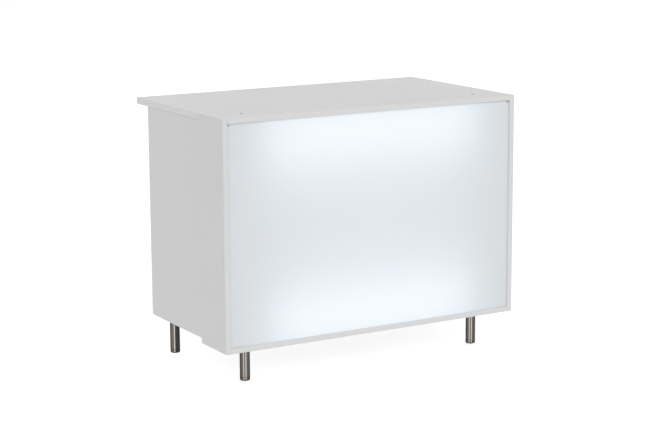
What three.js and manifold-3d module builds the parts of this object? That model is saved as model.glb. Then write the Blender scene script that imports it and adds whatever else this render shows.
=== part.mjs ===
// A bar counter with shelves. A light box with a glowing front faces the customers, a shelf
// cabinet behind it opens to the staff, and a worktop covers the cabinet. Round steel legs with
// levelling feet carry both.
// Sizes are in millimetres, +Z is up, X runs along the counter and the customers stand at -Y.
// The origin is on the floor, under the middle of the counter.
import * as THREE from "three";
import { mergeVertices } from "three/addons/utils/BufferGeometryUtils.js";
import Module from "manifold-3d";

const wasm = await Module();
wasm.setup();

// Whole counter
const COUNTER_WIDTH = 1400;
const COUNTER_HEIGHT = 1100;
const LEG_HEIGHT = 150; // floor to the underside of the light box
const LIGHT_BOX_DEPTH = 220;
const CABINET_DEPTH = 470;
const CABINET_LIFT = 22; // the cabinet's underside above the light box's
const WORKTOP_OVERHANG = 110; // past the cabinet, on the staff side

// Boards
const LIGHT_BOX_BOARD = 22;
const CABINET_BOARD = 19;
const SHELF_BOARD = 19;
const WORKTOP_BOARD = 28;
const BACK_BOARD = 10;
const BACK_LAP = 10; // how far the back panel reaches into the rebates around it
const EDGE_EASE = 0.8;
const SEAT_GAP = 0.3; // between any two pieces that meet

// Opal front
const OPAL_THICKNESS = 5;
const OPAL_SETBACK = 10;
const OPAL_GROOVE_DEPTH = 8;

// Lamps
const LAMP_INSET = 95; // tube axis to the outside of the light box, above or below it
const LAMP_END_SPACE = 246; // counter end to the outer face of a lampholder
const TUBE_DIAMETER = 26;
const TUBE_CAP_DIAMETER = 28;
const TUBE_CAP_LENGTH = 20;
const TUBE_PIN_DIAMETER = 2.4;
const TUBE_PIN_LENGTH = 7;
const TUBE_PIN_SPACING = 12.7;
const BATTEN_WIDTH = 46;
const BATTEN_HEIGHT = 36;
const BATTEN_WALL = 1.2;
const HOLDER_THICKNESS = 14;
const HOLDER_ARM_WIDTH = 26;
const HOLDER_PLUG_LENGTH = 8; // the part of a lampholder inside the batten

// Legs
const LEG_DIAMETER = 42;
const LEG_WALL = 1.5;
const LEG_PLUG = 12; // threaded plug at the lower end of the tube
const FRONT_LEG_INSET = 140; // leg axis to the counter's end
const FRONT_LEG_SETBACK = 110; // leg axis to the counter's front
const REAR_LEG_INSET = 85;
const REAR_LEG_SETBACK = 40; // leg axis to the cabinet's staff edge
const FLANGE_RIM = 16; // flange past the leg
const FLANGE_THICKNESS = 4;
const FLANGE_SCREW_HOLE = 4.5;
const FLANGE_SCREWS = 3;
const SPIGOT_LENGTH = 22;
const FOOT_HEIGHT = 15;
const FOOT_ROUND = 4;
const FOOT_NECK_HEIGHT = 2;
const FOOT_NECK_INSET = 3;
const STEM_DIAMETER = 12;
const STEM_LENGTH = 45;

// Tie rods from the top of the light box into its legs
const ROD_DIAMETER = 10;
const ROD_HEAD_DIAMETER = 16;
const ROD_SOCKET_WIDTH = 6;
const ROD_SOCKET_DEPTH = 5;
const ROD_END_SPACE = 3; // rod end to the end of the spigot

// Shelves and their pins
const SHELF_SETBACK = 20; // shelf edge to the cabinet's staff edge
const SHELF_BACK_SPACE = 6; // shelf to the light box
const SHELF_LEVEL = 430; // bottom board to the pins that carry the shelf
const PIN_HOLE_PITCH = 32;
const PIN_HOLES_EACH_WAY = 3; // holes above and below the one in use
const PIN_ROW_INSET = 60; // row of holes to either edge of the cabinet side
const PIN_HOLE_WEB = 2; // board left between holes that face each other
const PIN_DIAMETER = 5;
const PIN_COLLAR_DIAMETER = 10;
const PIN_COLLAR = 1.5;
const PIN_REST_DIAMETER = 8;
const PIN_REST_LENGTH = 10;
const PIN_REST_FLAT = 1.2; // depth of the flat on top of the rest

// Angle brackets
const BRACKET_REACH = 30;
const BRACKET_WIDTH = 22;
const BRACKET_SHEET = 2;
const BRACKET_BEND = 3.5; // outer radius
const BRACKET_HOLE = 4.5;
const BRACKET_HOLE_REACH = 19; // hole to the corner
const WORKTOP_BRACKET_INSET = 90; // to either edge of the cabinet side
const MODULE_BRACKET_INSET = 120; // to the lower and upper end of the cabinet side
const CORNER_BRACKET_SETBACK = 150; // to the front

// Power inlet, switch and lamp cables
const INLET_END_SPACE = 180; // counter end to the inlet's middle
const INLET_LEVEL = 150; // underside of the light box to the inlet's middle
const INLET_WIDTH = 30;
const INLET_HEIGHT = 56;
const INLET_DEPTH = 36;
const INLET_LIP = 3;
const INLET_LIP_THICKNESS = 2.5;
const SOCKET_WIDTH = 24.6;
const SOCKET_HEIGHT = 16.4;
const SOCKET_CORNER = 4.5;
const SOCKET_DEPTH = 20;
const SOCKET_DROP = 13; // below the inlet's middle
const BLADE_LENGTH = 14;
const BLADE_HEIGHT = 4;
const BLADE_THICKNESS = 2;
const BLADE_SPACING = 14;
const BLADE_STAGGER = 4; // the middle blade above the other two
const ROCKER_WIDTH = 12;
const ROCKER_LENGTH = 18;
const ROCKER_RISE = 14; // above the inlet's middle
const ROCKER_BACK_RADIUS = 8;
const ROCKER_FACE = 5.5; // pivot to the middle of the rocker's face
const ROCKER_DISH = 1.4; // its ends stand this much higher
const ROCKER_TILT = 8; // degrees either way
const ROCKER_PIVOT_DEPTH = 4.5; // behind the inlet's face
const TRUNNION_DIAMETER = 4;
const TRUNNION_LENGTH = 1.2;
const CABLE_DIAMETER = 7;
const CABLE_SPACING = 12; // between the two cables at the inlet
const CLIP_SHEET = 1.2;
const CLIP_WIDTH = 12;
const CLIP_FOOT = 14;

// Facets
const LEG_SIDES = 24;
const SMALL_SIDES = 10;
const CABLE_SIDES = 8;
const CABLE_STEP = 2.5; // in cable diameters
const ARC_STEPS = 4;
const MERGE_DISTANCE = 1e-4;
const CUT_MARGIN = 2; // cutting tools stand this far out of the board
const LINK = 0.5; // overlap of two bodies that are joined into one

// Sizes that follow
const HALF_WIDTH = COUNTER_WIDTH / 2;
const FRONT_Y = -(LIGHT_BOX_DEPTH + CABINET_DEPTH + WORKTOP_OVERHANG) / 2;
const LIGHT_BOX_HEIGHT = COUNTER_HEIGHT - LEG_HEIGHT;
const CABINET_BASE = LEG_HEIGHT + CABINET_LIFT;
const CABINET_HEIGHT = COUNTER_HEIGHT - WORKTOP_BOARD - CABINET_BASE;
const BOX_INNER_X = HALF_WIDTH - LIGHT_BOX_BOARD;
const BAY_OUTER_X = HALF_WIDTH - CABINET_BOARD;
const BAY_INNER_X = CABINET_BOARD / 2;
const PIN_HOLE_DEPTH = (CABINET_BOARD - PIN_HOLE_WEB) / 2;
const PIN_ROWS = [PIN_ROW_INSET, CABINET_DEPTH - PIN_ROW_INSET];
const PIN_LEVEL = CABINET_BOARD + SHELF_LEVEL;
const LAMP_Y = LIGHT_BOX_DEPTH / 2;
const LAMP_RISE = LAMP_INSET - LIGHT_BOX_BOARD;
const LAMP_OUTER_X = HALF_WIDTH - LAMP_END_SPACE;
const LAMP_INNER_X = LAMP_OUTER_X - HOLDER_THICKNESS;
const TUBE_LENGTH = 2 * (LAMP_INNER_X - SEAT_GAP);
const ROD_X = HALF_WIDTH - FRONT_LEG_INSET;
const INLET_X = HALF_WIDTH - INLET_END_SPACE;
const SPIGOT_RADIUS = LEG_DIAMETER / 2 - LEG_WALL - SEAT_GAP;
const ROCKER_SWING = THREE.MathUtils.degToRad(ROCKER_TILT);
const CABLE_WALL_Y = LIGHT_BOX_DEPTH - BACK_BOARD - SEAT_GAP - CABLE_DIAMETER / 2;

const LEFT = -1;
const RIGHT = 1;
const SIDES = { left: LEFT, right: RIGHT };
const DOWN = new THREE.Vector3(0, 0, -1);
const UP = new THREE.Vector3(0, 0, 1);
const TO_STAFF = new THREE.Vector3(0, 1, 0);

function finish(color, roughness, metalness = 0) {
  return new THREE.MeshStandardMaterial({ color, roughness, metalness });
}

const WHITE_LAMINATE = finish(0xcccccf, 0.45);
const OPAL_ACRYLIC = finish(0xe6eef4, 0.25);
OPAL_ACRYLIC.emissive.set(0xdfeaf2);
const STAINLESS = finish(0x918a82, 0.3, 1);
const ZINC = finish(0xb4b6b8, 0.4, 1);
const WHITE_ENAMEL = finish(0xe4e6e6, 0.4);
const LAMP_GLASS = finish(0xf4f8fb, 0.2);
const WHITE_PLASTIC = finish(0xdedfdf, 0.5);
const BLACK_PLASTIC = finish(0x1b1c1d, 0.5);

// Solids

function span(a, b) {
  return [Math.min(a, b), Math.max(a, b)];
}

function block(x, y, z) {
  const [width, depth, height] = [x, y, z].map(([from, to]) => to - from);
  const [midX, midY, midZ] = [x, y, z].map(([from, to]) => (from + to) / 2);
  return new THREE.BoxGeometry(width, depth, height).translate(midX, midY, midZ);
}

// A rectangle about the origin, with round corners where a radius is given.
function rectangle(width, height, radius = 0) {
  const x = width / 2 - radius;
  const y = height / 2 - radius;
  const shape = new THREE.Shape();
  if (radius === 0) {
    return shape.moveTo(-x, -y).lineTo(x, -y).lineTo(x, y).lineTo(-x, y).closePath();
  }
  const quarter = Math.PI / 2;
  shape.absarc(x, -y, radius, -quarter, 0);
  shape.absarc(x, y, radius, 0, quarter);
  shape.absarc(-x, y, radius, quarter, 2 * quarter);
  shape.absarc(-x, -y, radius, 2 * quarter, 3 * quarter);
  return shape.closePath();
}

// An outline drawn in X and Z, extruded along Y.
function extrudeAlongY(shape, [from, to]) {
  const options = { depth: to - from, bevelEnabled: false, curveSegments: ARC_STEPS };
  return new THREE.ExtrudeGeometry(shape, options).rotateX(Math.PI / 2).translate(0, to, 0);
}

// An outline drawn in Y and Z, extruded along X.
function extrudeAlongX(shape, [from, to]) {
  const options = { depth: to - from, bevelEnabled: false, curveSegments: ARC_STEPS };
  const geometry = new THREE.ExtrudeGeometry(shape, options);
  return geometry.rotateY(Math.PI / 2).rotateX(Math.PI / 2).translate(from, 0, 0);
}

// A board that fills three spans: its outline goes through the thin way, and the edges of both
// faces are eased.
function board(thinWay, x, y, z) {
  const [sizeX, sizeY, sizeZ] = [x, y, z].map(([from, to]) => to - from);
  const [midX, midY, midZ] = [x, y, z].map(([from, to]) => (from + to) / 2);
  const [across, along, thickness] = {
    x: [sizeZ, sizeY, sizeX],
    y: [sizeX, sizeZ, sizeY],
    z: [sizeX, sizeY, sizeZ],
  }[thinWay];
  const outline = rectangle(across - 2 * EDGE_EASE, along - 2 * EDGE_EASE);
  const geometry = new THREE.ExtrudeGeometry(outline, {
    depth: thickness - 2 * EDGE_EASE,
    bevelThickness: EDGE_EASE,
    bevelSize: EDGE_EASE,
    bevelSegments: 1,
  });
  geometry.translate(0, 0, EDGE_EASE - thickness / 2);
  if (thinWay === "x") geometry.rotateY(Math.PI / 2);
  if (thinWay === "y") geometry.rotateX(Math.PI / 2);
  return geometry.translate(midX, midY, midZ);
}

// A profile of [radius, height] points, turned about the Z axis.
function turn(profile, sides) {
  const points = profile.map(([radius, height]) => new THREE.Vector2(radius, height));
  return new THREE.LatheGeometry(points, sides).rotateX(Math.PI / 2);
}

function rod(radius, [from, to], sides = SMALL_SIDES) {
  const geometry = new THREE.CylinderGeometry(radius, radius, to - from, sides);
  return geometry.rotateX(Math.PI / 2).translate(0, 0, (from + to) / 2);
}

function rodAlongX(radius, [from, to], y, z) {
  return rod(radius, [from, to]).rotateY(Math.PI / 2).translate(0, y, z);
}

function solidOf(geometry) {
  const bare = geometry.clone();
  bare.deleteAttribute("normal");
  bare.deleteAttribute("uv");
  const merged = mergeVertices(bare, MERGE_DISTANCE);
  const vertProperties = merged.getAttribute("position").array;
  const triVerts = new Uint32Array(merged.index.array);
  return new wasm.Manifold(new wasm.Mesh({ numProp: 3, vertProperties, triVerts }));
}

function geometryOf(solid) {
  const { vertProperties, triVerts } = solid.getMesh();
  const geometry = new THREE.BufferGeometry();
  geometry.setAttribute("position", new THREE.BufferAttribute(vertProperties, 3));
  geometry.setIndex(new THREE.BufferAttribute(triVerts, 1));
  geometry.computeVertexNormals();
  return geometry;
}

function cut(geometry, ...tools) {
  return geometryOf(tools.reduce((left, tool) => left.subtract(solidOf(tool)), solidOf(geometry)));
}

function join(...geometries) {
  return geometryOf(geometries.map(solidOf).reduce((sum, next) => sum.add(next)));
}

function piece(parent, name, geometry, material) {
  const mesh = new THREE.Mesh(geometry, material);
  mesh.name = name;
  parent.add(mesh);
  return mesh;
}

function groupAt(parent, x, y, z) {
  const group = new THREE.Group();
  group.position.set(x, y, z);
  parent.add(group);
  return group;
}

// Tie rods, and the hole that each makes in what it passes through

function tieRodProfile(grow, top, bottom) {
  const head = ROD_HEAD_DIAMETER / 2 + grow;
  const shank = ROD_DIAMETER / 2 + grow;
  const cone = ROD_HEAD_DIAMETER / 2 - ROD_DIAMETER / 2;
  return [
    [0, bottom],
    [shank, bottom],
    [shank, LIGHT_BOX_HEIGHT - cone],
    [head, LIGHT_BOX_HEIGHT],
    ...(top > LIGHT_BOX_HEIGHT ? [[head, top]] : []),
    [0, top],
  ];
}

const ROD_BOTTOM = ROD_END_SPACE - SPIGOT_LENGTH - FLANGE_THICKNESS - SEAT_GAP;

function tieRodHole(side) {
  const top = LIGHT_BOX_HEIGHT + CUT_MARGIN;
  const hole = turn(tieRodProfile(SEAT_GAP, top, -CUT_MARGIN), SMALL_SIDES * 2);
  return hole.translate(side * ROD_X, FRONT_LEG_SETBACK, 0);
}

function tieRod() {
  const shaft = turn(tieRodProfile(0, LIGHT_BOX_HEIGHT, ROD_BOTTOM), SMALL_SIDES * 2);
  const socketRadius = ROD_SOCKET_WIDTH / Math.sqrt(3);
  const socketSpan = [LIGHT_BOX_HEIGHT - ROD_SOCKET_DEPTH, LIGHT_BOX_HEIGHT + CUT_MARGIN];
  return cut(shaft, rod(socketRadius, socketSpan, 6));
}

// Light box, in a frame at the middle of its lower front edge

const OPAL_GROOVE_Y = [OPAL_SETBACK - SEAT_GAP, OPAL_SETBACK + OPAL_THICKNESS + SEAT_GAP];
const BACK_REBATE_Y = [LIGHT_BOX_DEPTH - BACK_BOARD - SEAT_GAP, LIGHT_BOX_DEPTH + CUT_MARGIN];
const BOX_DEPTH_SPAN = [0, LIGHT_BOX_DEPTH];
const INLET_BODY_X = [INLET_X - INLET_WIDTH / 2, INLET_X + INLET_WIDTH / 2];
const INLET_BODY_Z = [INLET_LEVEL - INLET_HEIGHT / 2, INLET_LEVEL + INLET_HEIGHT / 2];

function grown([from, to], by) {
  return [from - by, to + by];
}

// The height of a panel that reaches into the upper and lower board by the given depth.
function panelSpanZ(reach) {
  return [LIGHT_BOX_BOARD - reach, LIGHT_BOX_HEIGHT - LIGHT_BOX_BOARD + reach];
}

function panelSpanX(reach) {
  return [-BOX_INNER_X - reach, BOX_INNER_X + reach];
}

function lightBoxSide(side) {
  const inner = side * BOX_INNER_X;
  const clear = inner - side * CUT_MARGIN;
  const x = span(inner, side * HALF_WIDTH);
  const grooveX = span(clear, inner + side * OPAL_GROOVE_DEPTH);
  const rebateX = span(clear, inner + side * BACK_LAP);
  return cut(
    board("x", x, BOX_DEPTH_SPAN, [0, LIGHT_BOX_HEIGHT]),
    block(grooveX, OPAL_GROOVE_Y, panelSpanZ(OPAL_GROOVE_DEPTH)),
    block(rebateX, BACK_REBATE_Y, panelSpanZ(BACK_LAP)),
  );
}

// The upper or lower board, between the sides.
function lightBoxLevel(z) {
  const x = panelSpanX(-SEAT_GAP);
  const past = grown(x, CUT_MARGIN);
  return cut(
    board("z", x, BOX_DEPTH_SPAN, z),
    block(past, OPAL_GROOVE_Y, panelSpanZ(OPAL_GROOVE_DEPTH)),
    block(past, BACK_REBATE_Y, panelSpanZ(BACK_LAP)),
    tieRodHole(LEFT),
    tieRodHole(RIGHT),
  );
}

function opalPanel() {
  const reach = OPAL_GROOVE_DEPTH - SEAT_GAP;
  const y = [OPAL_SETBACK, OPAL_SETBACK + OPAL_THICKNESS];
  return board("y", panelSpanX(reach), y, panelSpanZ(reach));
}

function backPanel() {
  const reach = BACK_LAP - SEAT_GAP;
  const y = [LIGHT_BOX_DEPTH - BACK_BOARD, LIGHT_BOX_DEPTH];
  const inletHole = block(
    grown(INLET_BODY_X, SEAT_GAP),
    grown(y, CUT_MARGIN),
    grown(INLET_BODY_Z, SEAT_GAP),
  );
  return cut(board("y", panelSpanX(reach), y, panelSpanZ(reach)), inletHole);
}

// A lamp stands on a board: Z is up from the board, X is along the tube.

function batten() {
  const half = BATTEN_WIDTH / 2;
  const inner = half - BATTEN_WALL;
  const roof = BATTEN_HEIGHT - BATTEN_WALL;
  const channel = new THREE.Shape();
  channel.moveTo(-half, SEAT_GAP).lineTo(-inner, SEAT_GAP);
  channel.lineTo(-inner, roof).lineTo(inner, roof);
  channel.lineTo(inner, SEAT_GAP).lineTo(half, SEAT_GAP);
  channel.lineTo(half, BATTEN_HEIGHT).lineTo(-half, BATTEN_HEIGHT).closePath();
  const end = LAMP_INNER_X - SEAT_GAP;
  return extrudeAlongX(channel, [-end, end]);
}

// Its two pins stand one above the other at each end.
function lampTube() {
  const end = TUBE_LENGTH / 2;
  const capStart = end - TUBE_CAP_LENGTH;
  const cap = TUBE_CAP_DIAMETER / 2;
  const glass = TUBE_DIAMETER / 2;
  const profile = [
    [0, -end],
    [cap, -end],
    [cap, -capStart],
    [glass, -capStart],
    [glass, capStart],
    [cap, capStart],
    [cap, end],
    [0, end],
  ];
  const body = turn(profile, SMALL_SIDES * 2).rotateY(Math.PI / 2).translate(0, 0, LAMP_RISE);
  const pins = [];
  for (const side of [LEFT, RIGHT]) {
    const x = span(side * (end - LINK), side * (end + TUBE_PIN_LENGTH));
    for (const way of [LEFT, RIGHT]) {
      const z = LAMP_RISE + (way * TUBE_PIN_SPACING) / 2;
      pins.push(rodAlongX(TUBE_PIN_DIAMETER / 2, x, 0, z));
    }
  }
  return join(body, ...pins);
}

// An end cap that plugs the batten and carries the tube's pins in its arm.
function lampholder(side) {
  const half = BATTEN_WIDTH / 2;
  const arm = HOLDER_ARM_WIDTH / 2;
  const outline = new THREE.Shape();
  outline.moveTo(-half, SEAT_GAP).lineTo(half, SEAT_GAP).lineTo(half, BATTEN_HEIGHT);
  outline.lineTo(arm, BATTEN_HEIGHT).lineTo(arm, LAMP_RISE);
  outline.absarc(0, LAMP_RISE, arm, 0, Math.PI);
  outline.lineTo(-arm, BATTEN_HEIGHT).lineTo(-half, BATTEN_HEIGHT).closePath();
  const inner = side * LAMP_INNER_X;
  const cap = extrudeAlongX(outline, span(inner, side * LAMP_OUTER_X));
  const plugHalf = half - BATTEN_WALL - SEAT_GAP;
  const plug = block(
    span(inner + side * LINK, inner - side * HOLDER_PLUG_LENGTH),
    [-plugHalf, plugHalf],
    [SEAT_GAP, BATTEN_HEIGHT - BATTEN_WALL - SEAT_GAP],
  );
  const holeEnd = inner + side * (TUBE_PIN_LENGTH + SEAT_GAP);
  const holes = [LEFT, RIGHT].map((way) => {
    const x = span(inner - side * CUT_MARGIN, holeEnd);
    const z = LAMP_RISE + (way * TUBE_PIN_SPACING) / 2;
    return rodAlongX(TUBE_PIN_DIAMETER / 2 + SEAT_GAP, x, 0, z);
  });
  return cut(join(cap, plug), ...holes);
}

function addLamp(box, name, level, upsideDown) {
  const lamp = groupAt(box, 0, LAMP_Y, level);
  lamp.rotation.x = upsideDown ? Math.PI : 0;
  piece(lamp, `${name}_lamp_batten`, batten(), WHITE_ENAMEL);
  piece(lamp, `${name}_lamp_tube`, lampTube(), LAMP_GLASS);
  for (const [sideName, side] of Object.entries(SIDES)) {
    piece(lamp, `${name}_lampholder_${sideName}`, lampholder(side), WHITE_PLASTIC);
  }
}

// Power inlet, in a frame at its middle on the light box's back: +Y points to the staff

const INLET_FACE_Y = SEAT_GAP + INLET_LIP_THICKNESS;
const ROCKER_PIVOT_Y = INLET_FACE_Y - ROCKER_PIVOT_DEPTH;
const ROCKER_FACE_END = ROCKER_FACE + ROCKER_DISH;

function socketOutline(grow) {
  const halfWidth = SOCKET_WIDTH / 2 + grow;
  const halfHeight = SOCKET_HEIGHT / 2 + grow;
  const shape = new THREE.Shape();
  shape.moveTo(-halfWidth, -halfHeight).lineTo(halfWidth, -halfHeight);
  shape.lineTo(halfWidth, halfHeight - SOCKET_CORNER);
  shape.lineTo(halfWidth - SOCKET_CORNER, halfHeight);
  shape.lineTo(SOCKET_CORNER - halfWidth, halfHeight);
  shape.lineTo(-halfWidth, halfHeight - SOCKET_CORNER).closePath();
  return shape;
}

function powerInlet() {
  const lip = rectangle(INLET_WIDTH + 2 * INLET_LIP, INLET_HEIGHT + 2 * INLET_LIP, INLET_LIP);
  const body = rectangle(INLET_WIDTH, INLET_HEIGHT);
  const socketFloor = INLET_FACE_Y - SOCKET_DEPTH;
  const mouth = INLET_FACE_Y + CUT_MARGIN;
  const socket = extrudeAlongY(socketOutline(0), [socketFloor, mouth]).translate(0, 0, -SOCKET_DROP);
  const wellX = ROCKER_WIDTH / 2 + SEAT_GAP;
  const turned = (ROCKER_LENGTH / 2) * Math.cos(ROCKER_SWING);
  const wellHalf = turned + ROCKER_FACE_END * Math.sin(ROCKER_SWING) + SEAT_GAP;
  const well = block(
    [-wellX, wellX],
    [ROCKER_PIVOT_Y - ROCKER_BACK_RADIUS - SEAT_GAP, mouth],
    [ROCKER_RISE - wellHalf, ROCKER_RISE + wellHalf],
  );
  const bearingX = ROCKER_WIDTH / 2 + TRUNNION_LENGTH + SEAT_GAP;
  const bearingRadius = TRUNNION_DIAMETER / 2 + SEAT_GAP;
  const bearing = rodAlongX(bearingRadius, [-bearingX, bearingX], ROCKER_PIVOT_Y, ROCKER_RISE);
  const housing = cut(
    join(
      extrudeAlongY(lip, [SEAT_GAP, INLET_FACE_Y]),
      extrudeAlongY(body, [-INLET_DEPTH, SEAT_GAP + LINK]),
    ),
    socket,
    well,
    bearing,
  );
  const bladeY = [socketFloor - LINK, socketFloor + BLADE_LENGTH];
  const blades = [-1, 0, 1].map((place) => {
    const x = (place * BLADE_SPACING) / 2;
    const rise = place === 0 ? BLADE_STAGGER / 2 : -BLADE_STAGGER / 2;
    const z = rise - SOCKET_DROP;
    return block(
      [x - BLADE_THICKNESS / 2, x + BLADE_THICKNESS / 2],
      bladeY,
      [z - BLADE_HEIGHT / 2, z + BLADE_HEIGHT / 2],
    );
  });
  return join(housing, ...blades);
}

// The rocker's frame is on its pivot. Its face is dished and its back is round.
function rocker() {
  const outline = new THREE.Shape();
  outline.moveTo(0, ROCKER_BACK_RADIUS).lineTo(ROCKER_FACE_END, ROCKER_LENGTH / 2);
  outline.lineTo(ROCKER_FACE, 0).lineTo(ROCKER_FACE_END, -ROCKER_LENGTH / 2);
  outline.lineTo(0, -ROCKER_BACK_RADIUS);
  outline.absarc(0, 0, ROCKER_BACK_RADIUS, -Math.PI / 2, -1.5 * Math.PI, true);
  outline.closePath();
  const half = ROCKER_WIDTH / 2;
  const trunnionX = half + TRUNNION_LENGTH;
  return join(
    extrudeAlongX(outline, [-half, half]),
    rodAlongX(TRUNNION_DIAMETER / 2, [-trunnionX, trunnionX], 0, 0),
  );
}

function addInlet(box) {
  const inlet = groupAt(box, INLET_X, LIGHT_BOX_DEPTH, INLET_LEVEL);
  piece(inlet, "power_inlet", powerInlet(), BLACK_PLASTIC);
  const switchRocker = piece(inlet, "rocker_switch", rocker(), BLACK_PLASTIC);
  switchRocker.position.set(0, ROCKER_PIVOT_Y, ROCKER_RISE);
  switchRocker.rotation.x = ROCKER_SWING;
}

// Cables from the inlet to the lamps: they leave the inlet square to it, bend once and end square
// to the lampholder. The upper one runs up the back panel on its way.

function cable(...stretches) {
  const path = new THREE.CurvePath();
  stretches.forEach((stretch) => path.add(stretch));
  const section = new THREE.Shape();
  for (let i = 0; i < CABLE_SIDES; i++) {
    const angle = (2 * Math.PI * i) / CABLE_SIDES;
    const x = (CABLE_DIAMETER / 2) * Math.cos(angle);
    const y = (CABLE_DIAMETER / 2) * Math.sin(angle);
    if (i === 0) section.moveTo(x, y);
    else section.lineTo(x, y);
  }
  section.closePath();
  const steps = Math.ceil(path.getLength() / (CABLE_STEP * CABLE_DIAMETER));
  return new THREE.ExtrudeGeometry(section, { steps, extrudePath: path, bevelEnabled: false });
}

// A bend from one point to another, with the pull of the cable at each end.
function bend(from, fromPull, to, toPull) {
  return new THREE.CubicBezierCurve3(from, from.clone().add(fromPull), to.clone().add(toPull), to);
}

function cableStart(place) {
  const x = INLET_X + (place * CABLE_SPACING) / 2;
  return new THREE.Vector3(x, LIGHT_BOX_DEPTH - INLET_DEPTH - SEAT_GAP, INLET_LEVEL);
}

function cableEnd(level) {
  return new THREE.Vector3(LAMP_OUTER_X + SEAT_GAP, LAMP_Y, level);
}

const LOWER_CABLE_LEVEL = LIGHT_BOX_BOARD + BATTEN_HEIGHT / 2;
const UPPER_CABLE_LEVEL = LIGHT_BOX_HEIGHT - LOWER_CABLE_LEVEL;
const CLIP_LEVEL = LIGHT_BOX_HEIGHT / 2;
const LEAVE_INLET = new THREE.Vector3(0, -130, 0);
const REACH_HOLDER = new THREE.Vector3(100, 0, 0);
const REACH_WALL = new THREE.Vector3(0, 0, -70);
const LEAVE_WALL = new THREE.Vector3(0, 0, 130);
const CABLE_TURN = 260; // height of each bend between the wall and an end of the cable

function lowerCable() {
  const start = cableStart(LEFT);
  const end = cableEnd(LOWER_CABLE_LEVEL);
  return cable(bend(start, LEAVE_INLET, end, REACH_HOLDER));
}

function upperCable() {
  const start = cableStart(RIGHT);
  const end = cableEnd(UPPER_CABLE_LEVEL);
  const low = new THREE.Vector3(start.x, CABLE_WALL_Y, start.z + CABLE_TURN);
  const high = new THREE.Vector3(start.x, CABLE_WALL_Y, end.z - CABLE_TURN);
  return cable(
    bend(start, LEAVE_INLET, low, REACH_WALL),
    new THREE.LineCurve3(low, high),
    bend(high, LEAVE_WALL, end, REACH_HOLDER),
  );
}

// A saddle over the upper cable, with one foot on the back panel.
function cableClip() {
  const inner = CABLE_DIAMETER / 2 + SEAT_GAP;
  const outer = inner + CLIP_SHEET;
  const wall = CABLE_DIAMETER / 2;
  const strap = new THREE.Shape();
  strap.moveTo(-outer, wall).lineTo(-outer, 0);
  strap.absarc(0, 0, outer, Math.PI, 2 * Math.PI);
  strap.lineTo(outer, wall - CLIP_SHEET).lineTo(outer + CLIP_FOOT, wall - CLIP_SHEET);
  strap.lineTo(outer + CLIP_FOOT, wall).lineTo(inner, wall).lineTo(inner, 0);
  strap.absarc(0, 0, inner, 0, -Math.PI, true);
  strap.lineTo(-inner, wall).closePath();
  const options = { depth: CLIP_WIDTH, bevelEnabled: false, curveSegments: ARC_STEPS };
  return new THREE.ExtrudeGeometry(strap, options).translate(0, 0, -CLIP_WIDTH / 2);
}

// Angle bracket in an inner corner: one leaf along +X, the other along +Z

function angleBracket() {
  const inner = BRACKET_BEND - BRACKET_SHEET;
  const outline = new THREE.Shape();
  outline.moveTo(BRACKET_BEND, 0).lineTo(BRACKET_REACH, 0).lineTo(BRACKET_REACH, BRACKET_SHEET);
  outline.lineTo(BRACKET_BEND, BRACKET_SHEET);
  outline.absarc(BRACKET_BEND, BRACKET_BEND, inner, 1.5 * Math.PI, Math.PI, true);
  outline.lineTo(BRACKET_SHEET, BRACKET_REACH).lineTo(0, BRACKET_REACH).lineTo(0, BRACKET_BEND);
  outline.absarc(BRACKET_BEND, BRACKET_BEND, BRACKET_BEND, Math.PI, 1.5 * Math.PI);
  outline.closePath();
  const half = BRACKET_WIDTH / 2;
  const through = grown([0, BRACKET_SHEET], CUT_MARGIN);
  const hole = rod(BRACKET_HOLE / 2, through).translate(BRACKET_HOLE_REACH, 0, 0);
  const otherHole = rodAlongX(BRACKET_HOLE / 2, through, 0, BRACKET_HOLE_REACH);
  return cut(extrudeAlongY(outline, [-half, half]), hole, otherHole);
}

function addBracket(parent, name, corner, along, up) {
  const mesh = piece(parent, name, angleBracket(), ZINC);
  const basis = new THREE.Matrix4().makeBasis(along, up.clone().cross(along), up);
  mesh.quaternion.setFromRotationMatrix(basis);
  mesh.position.copy(corner).addScaledVector(along, SEAT_GAP).addScaledVector(up, SEAT_GAP);
}

function inwards(side) {
  return new THREE.Vector3(-side, 0, 0);
}

function addCornerBrackets(box) {
  for (const [sideName, side] of Object.entries(SIDES)) {
    const place = (z) => new THREE.Vector3(side * BOX_INNER_X, CORNER_BRACKET_SETBACK, z);
    const roof = place(LIGHT_BOX_HEIGHT - LIGHT_BOX_BOARD);
    addBracket(box, `corner_bracket_${sideName}_upper`, roof, inwards(side), DOWN);
    addBracket(box, `corner_bracket_${sideName}_lower`, place(LIGHT_BOX_BOARD), inwards(side), UP);
  }
}

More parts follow.
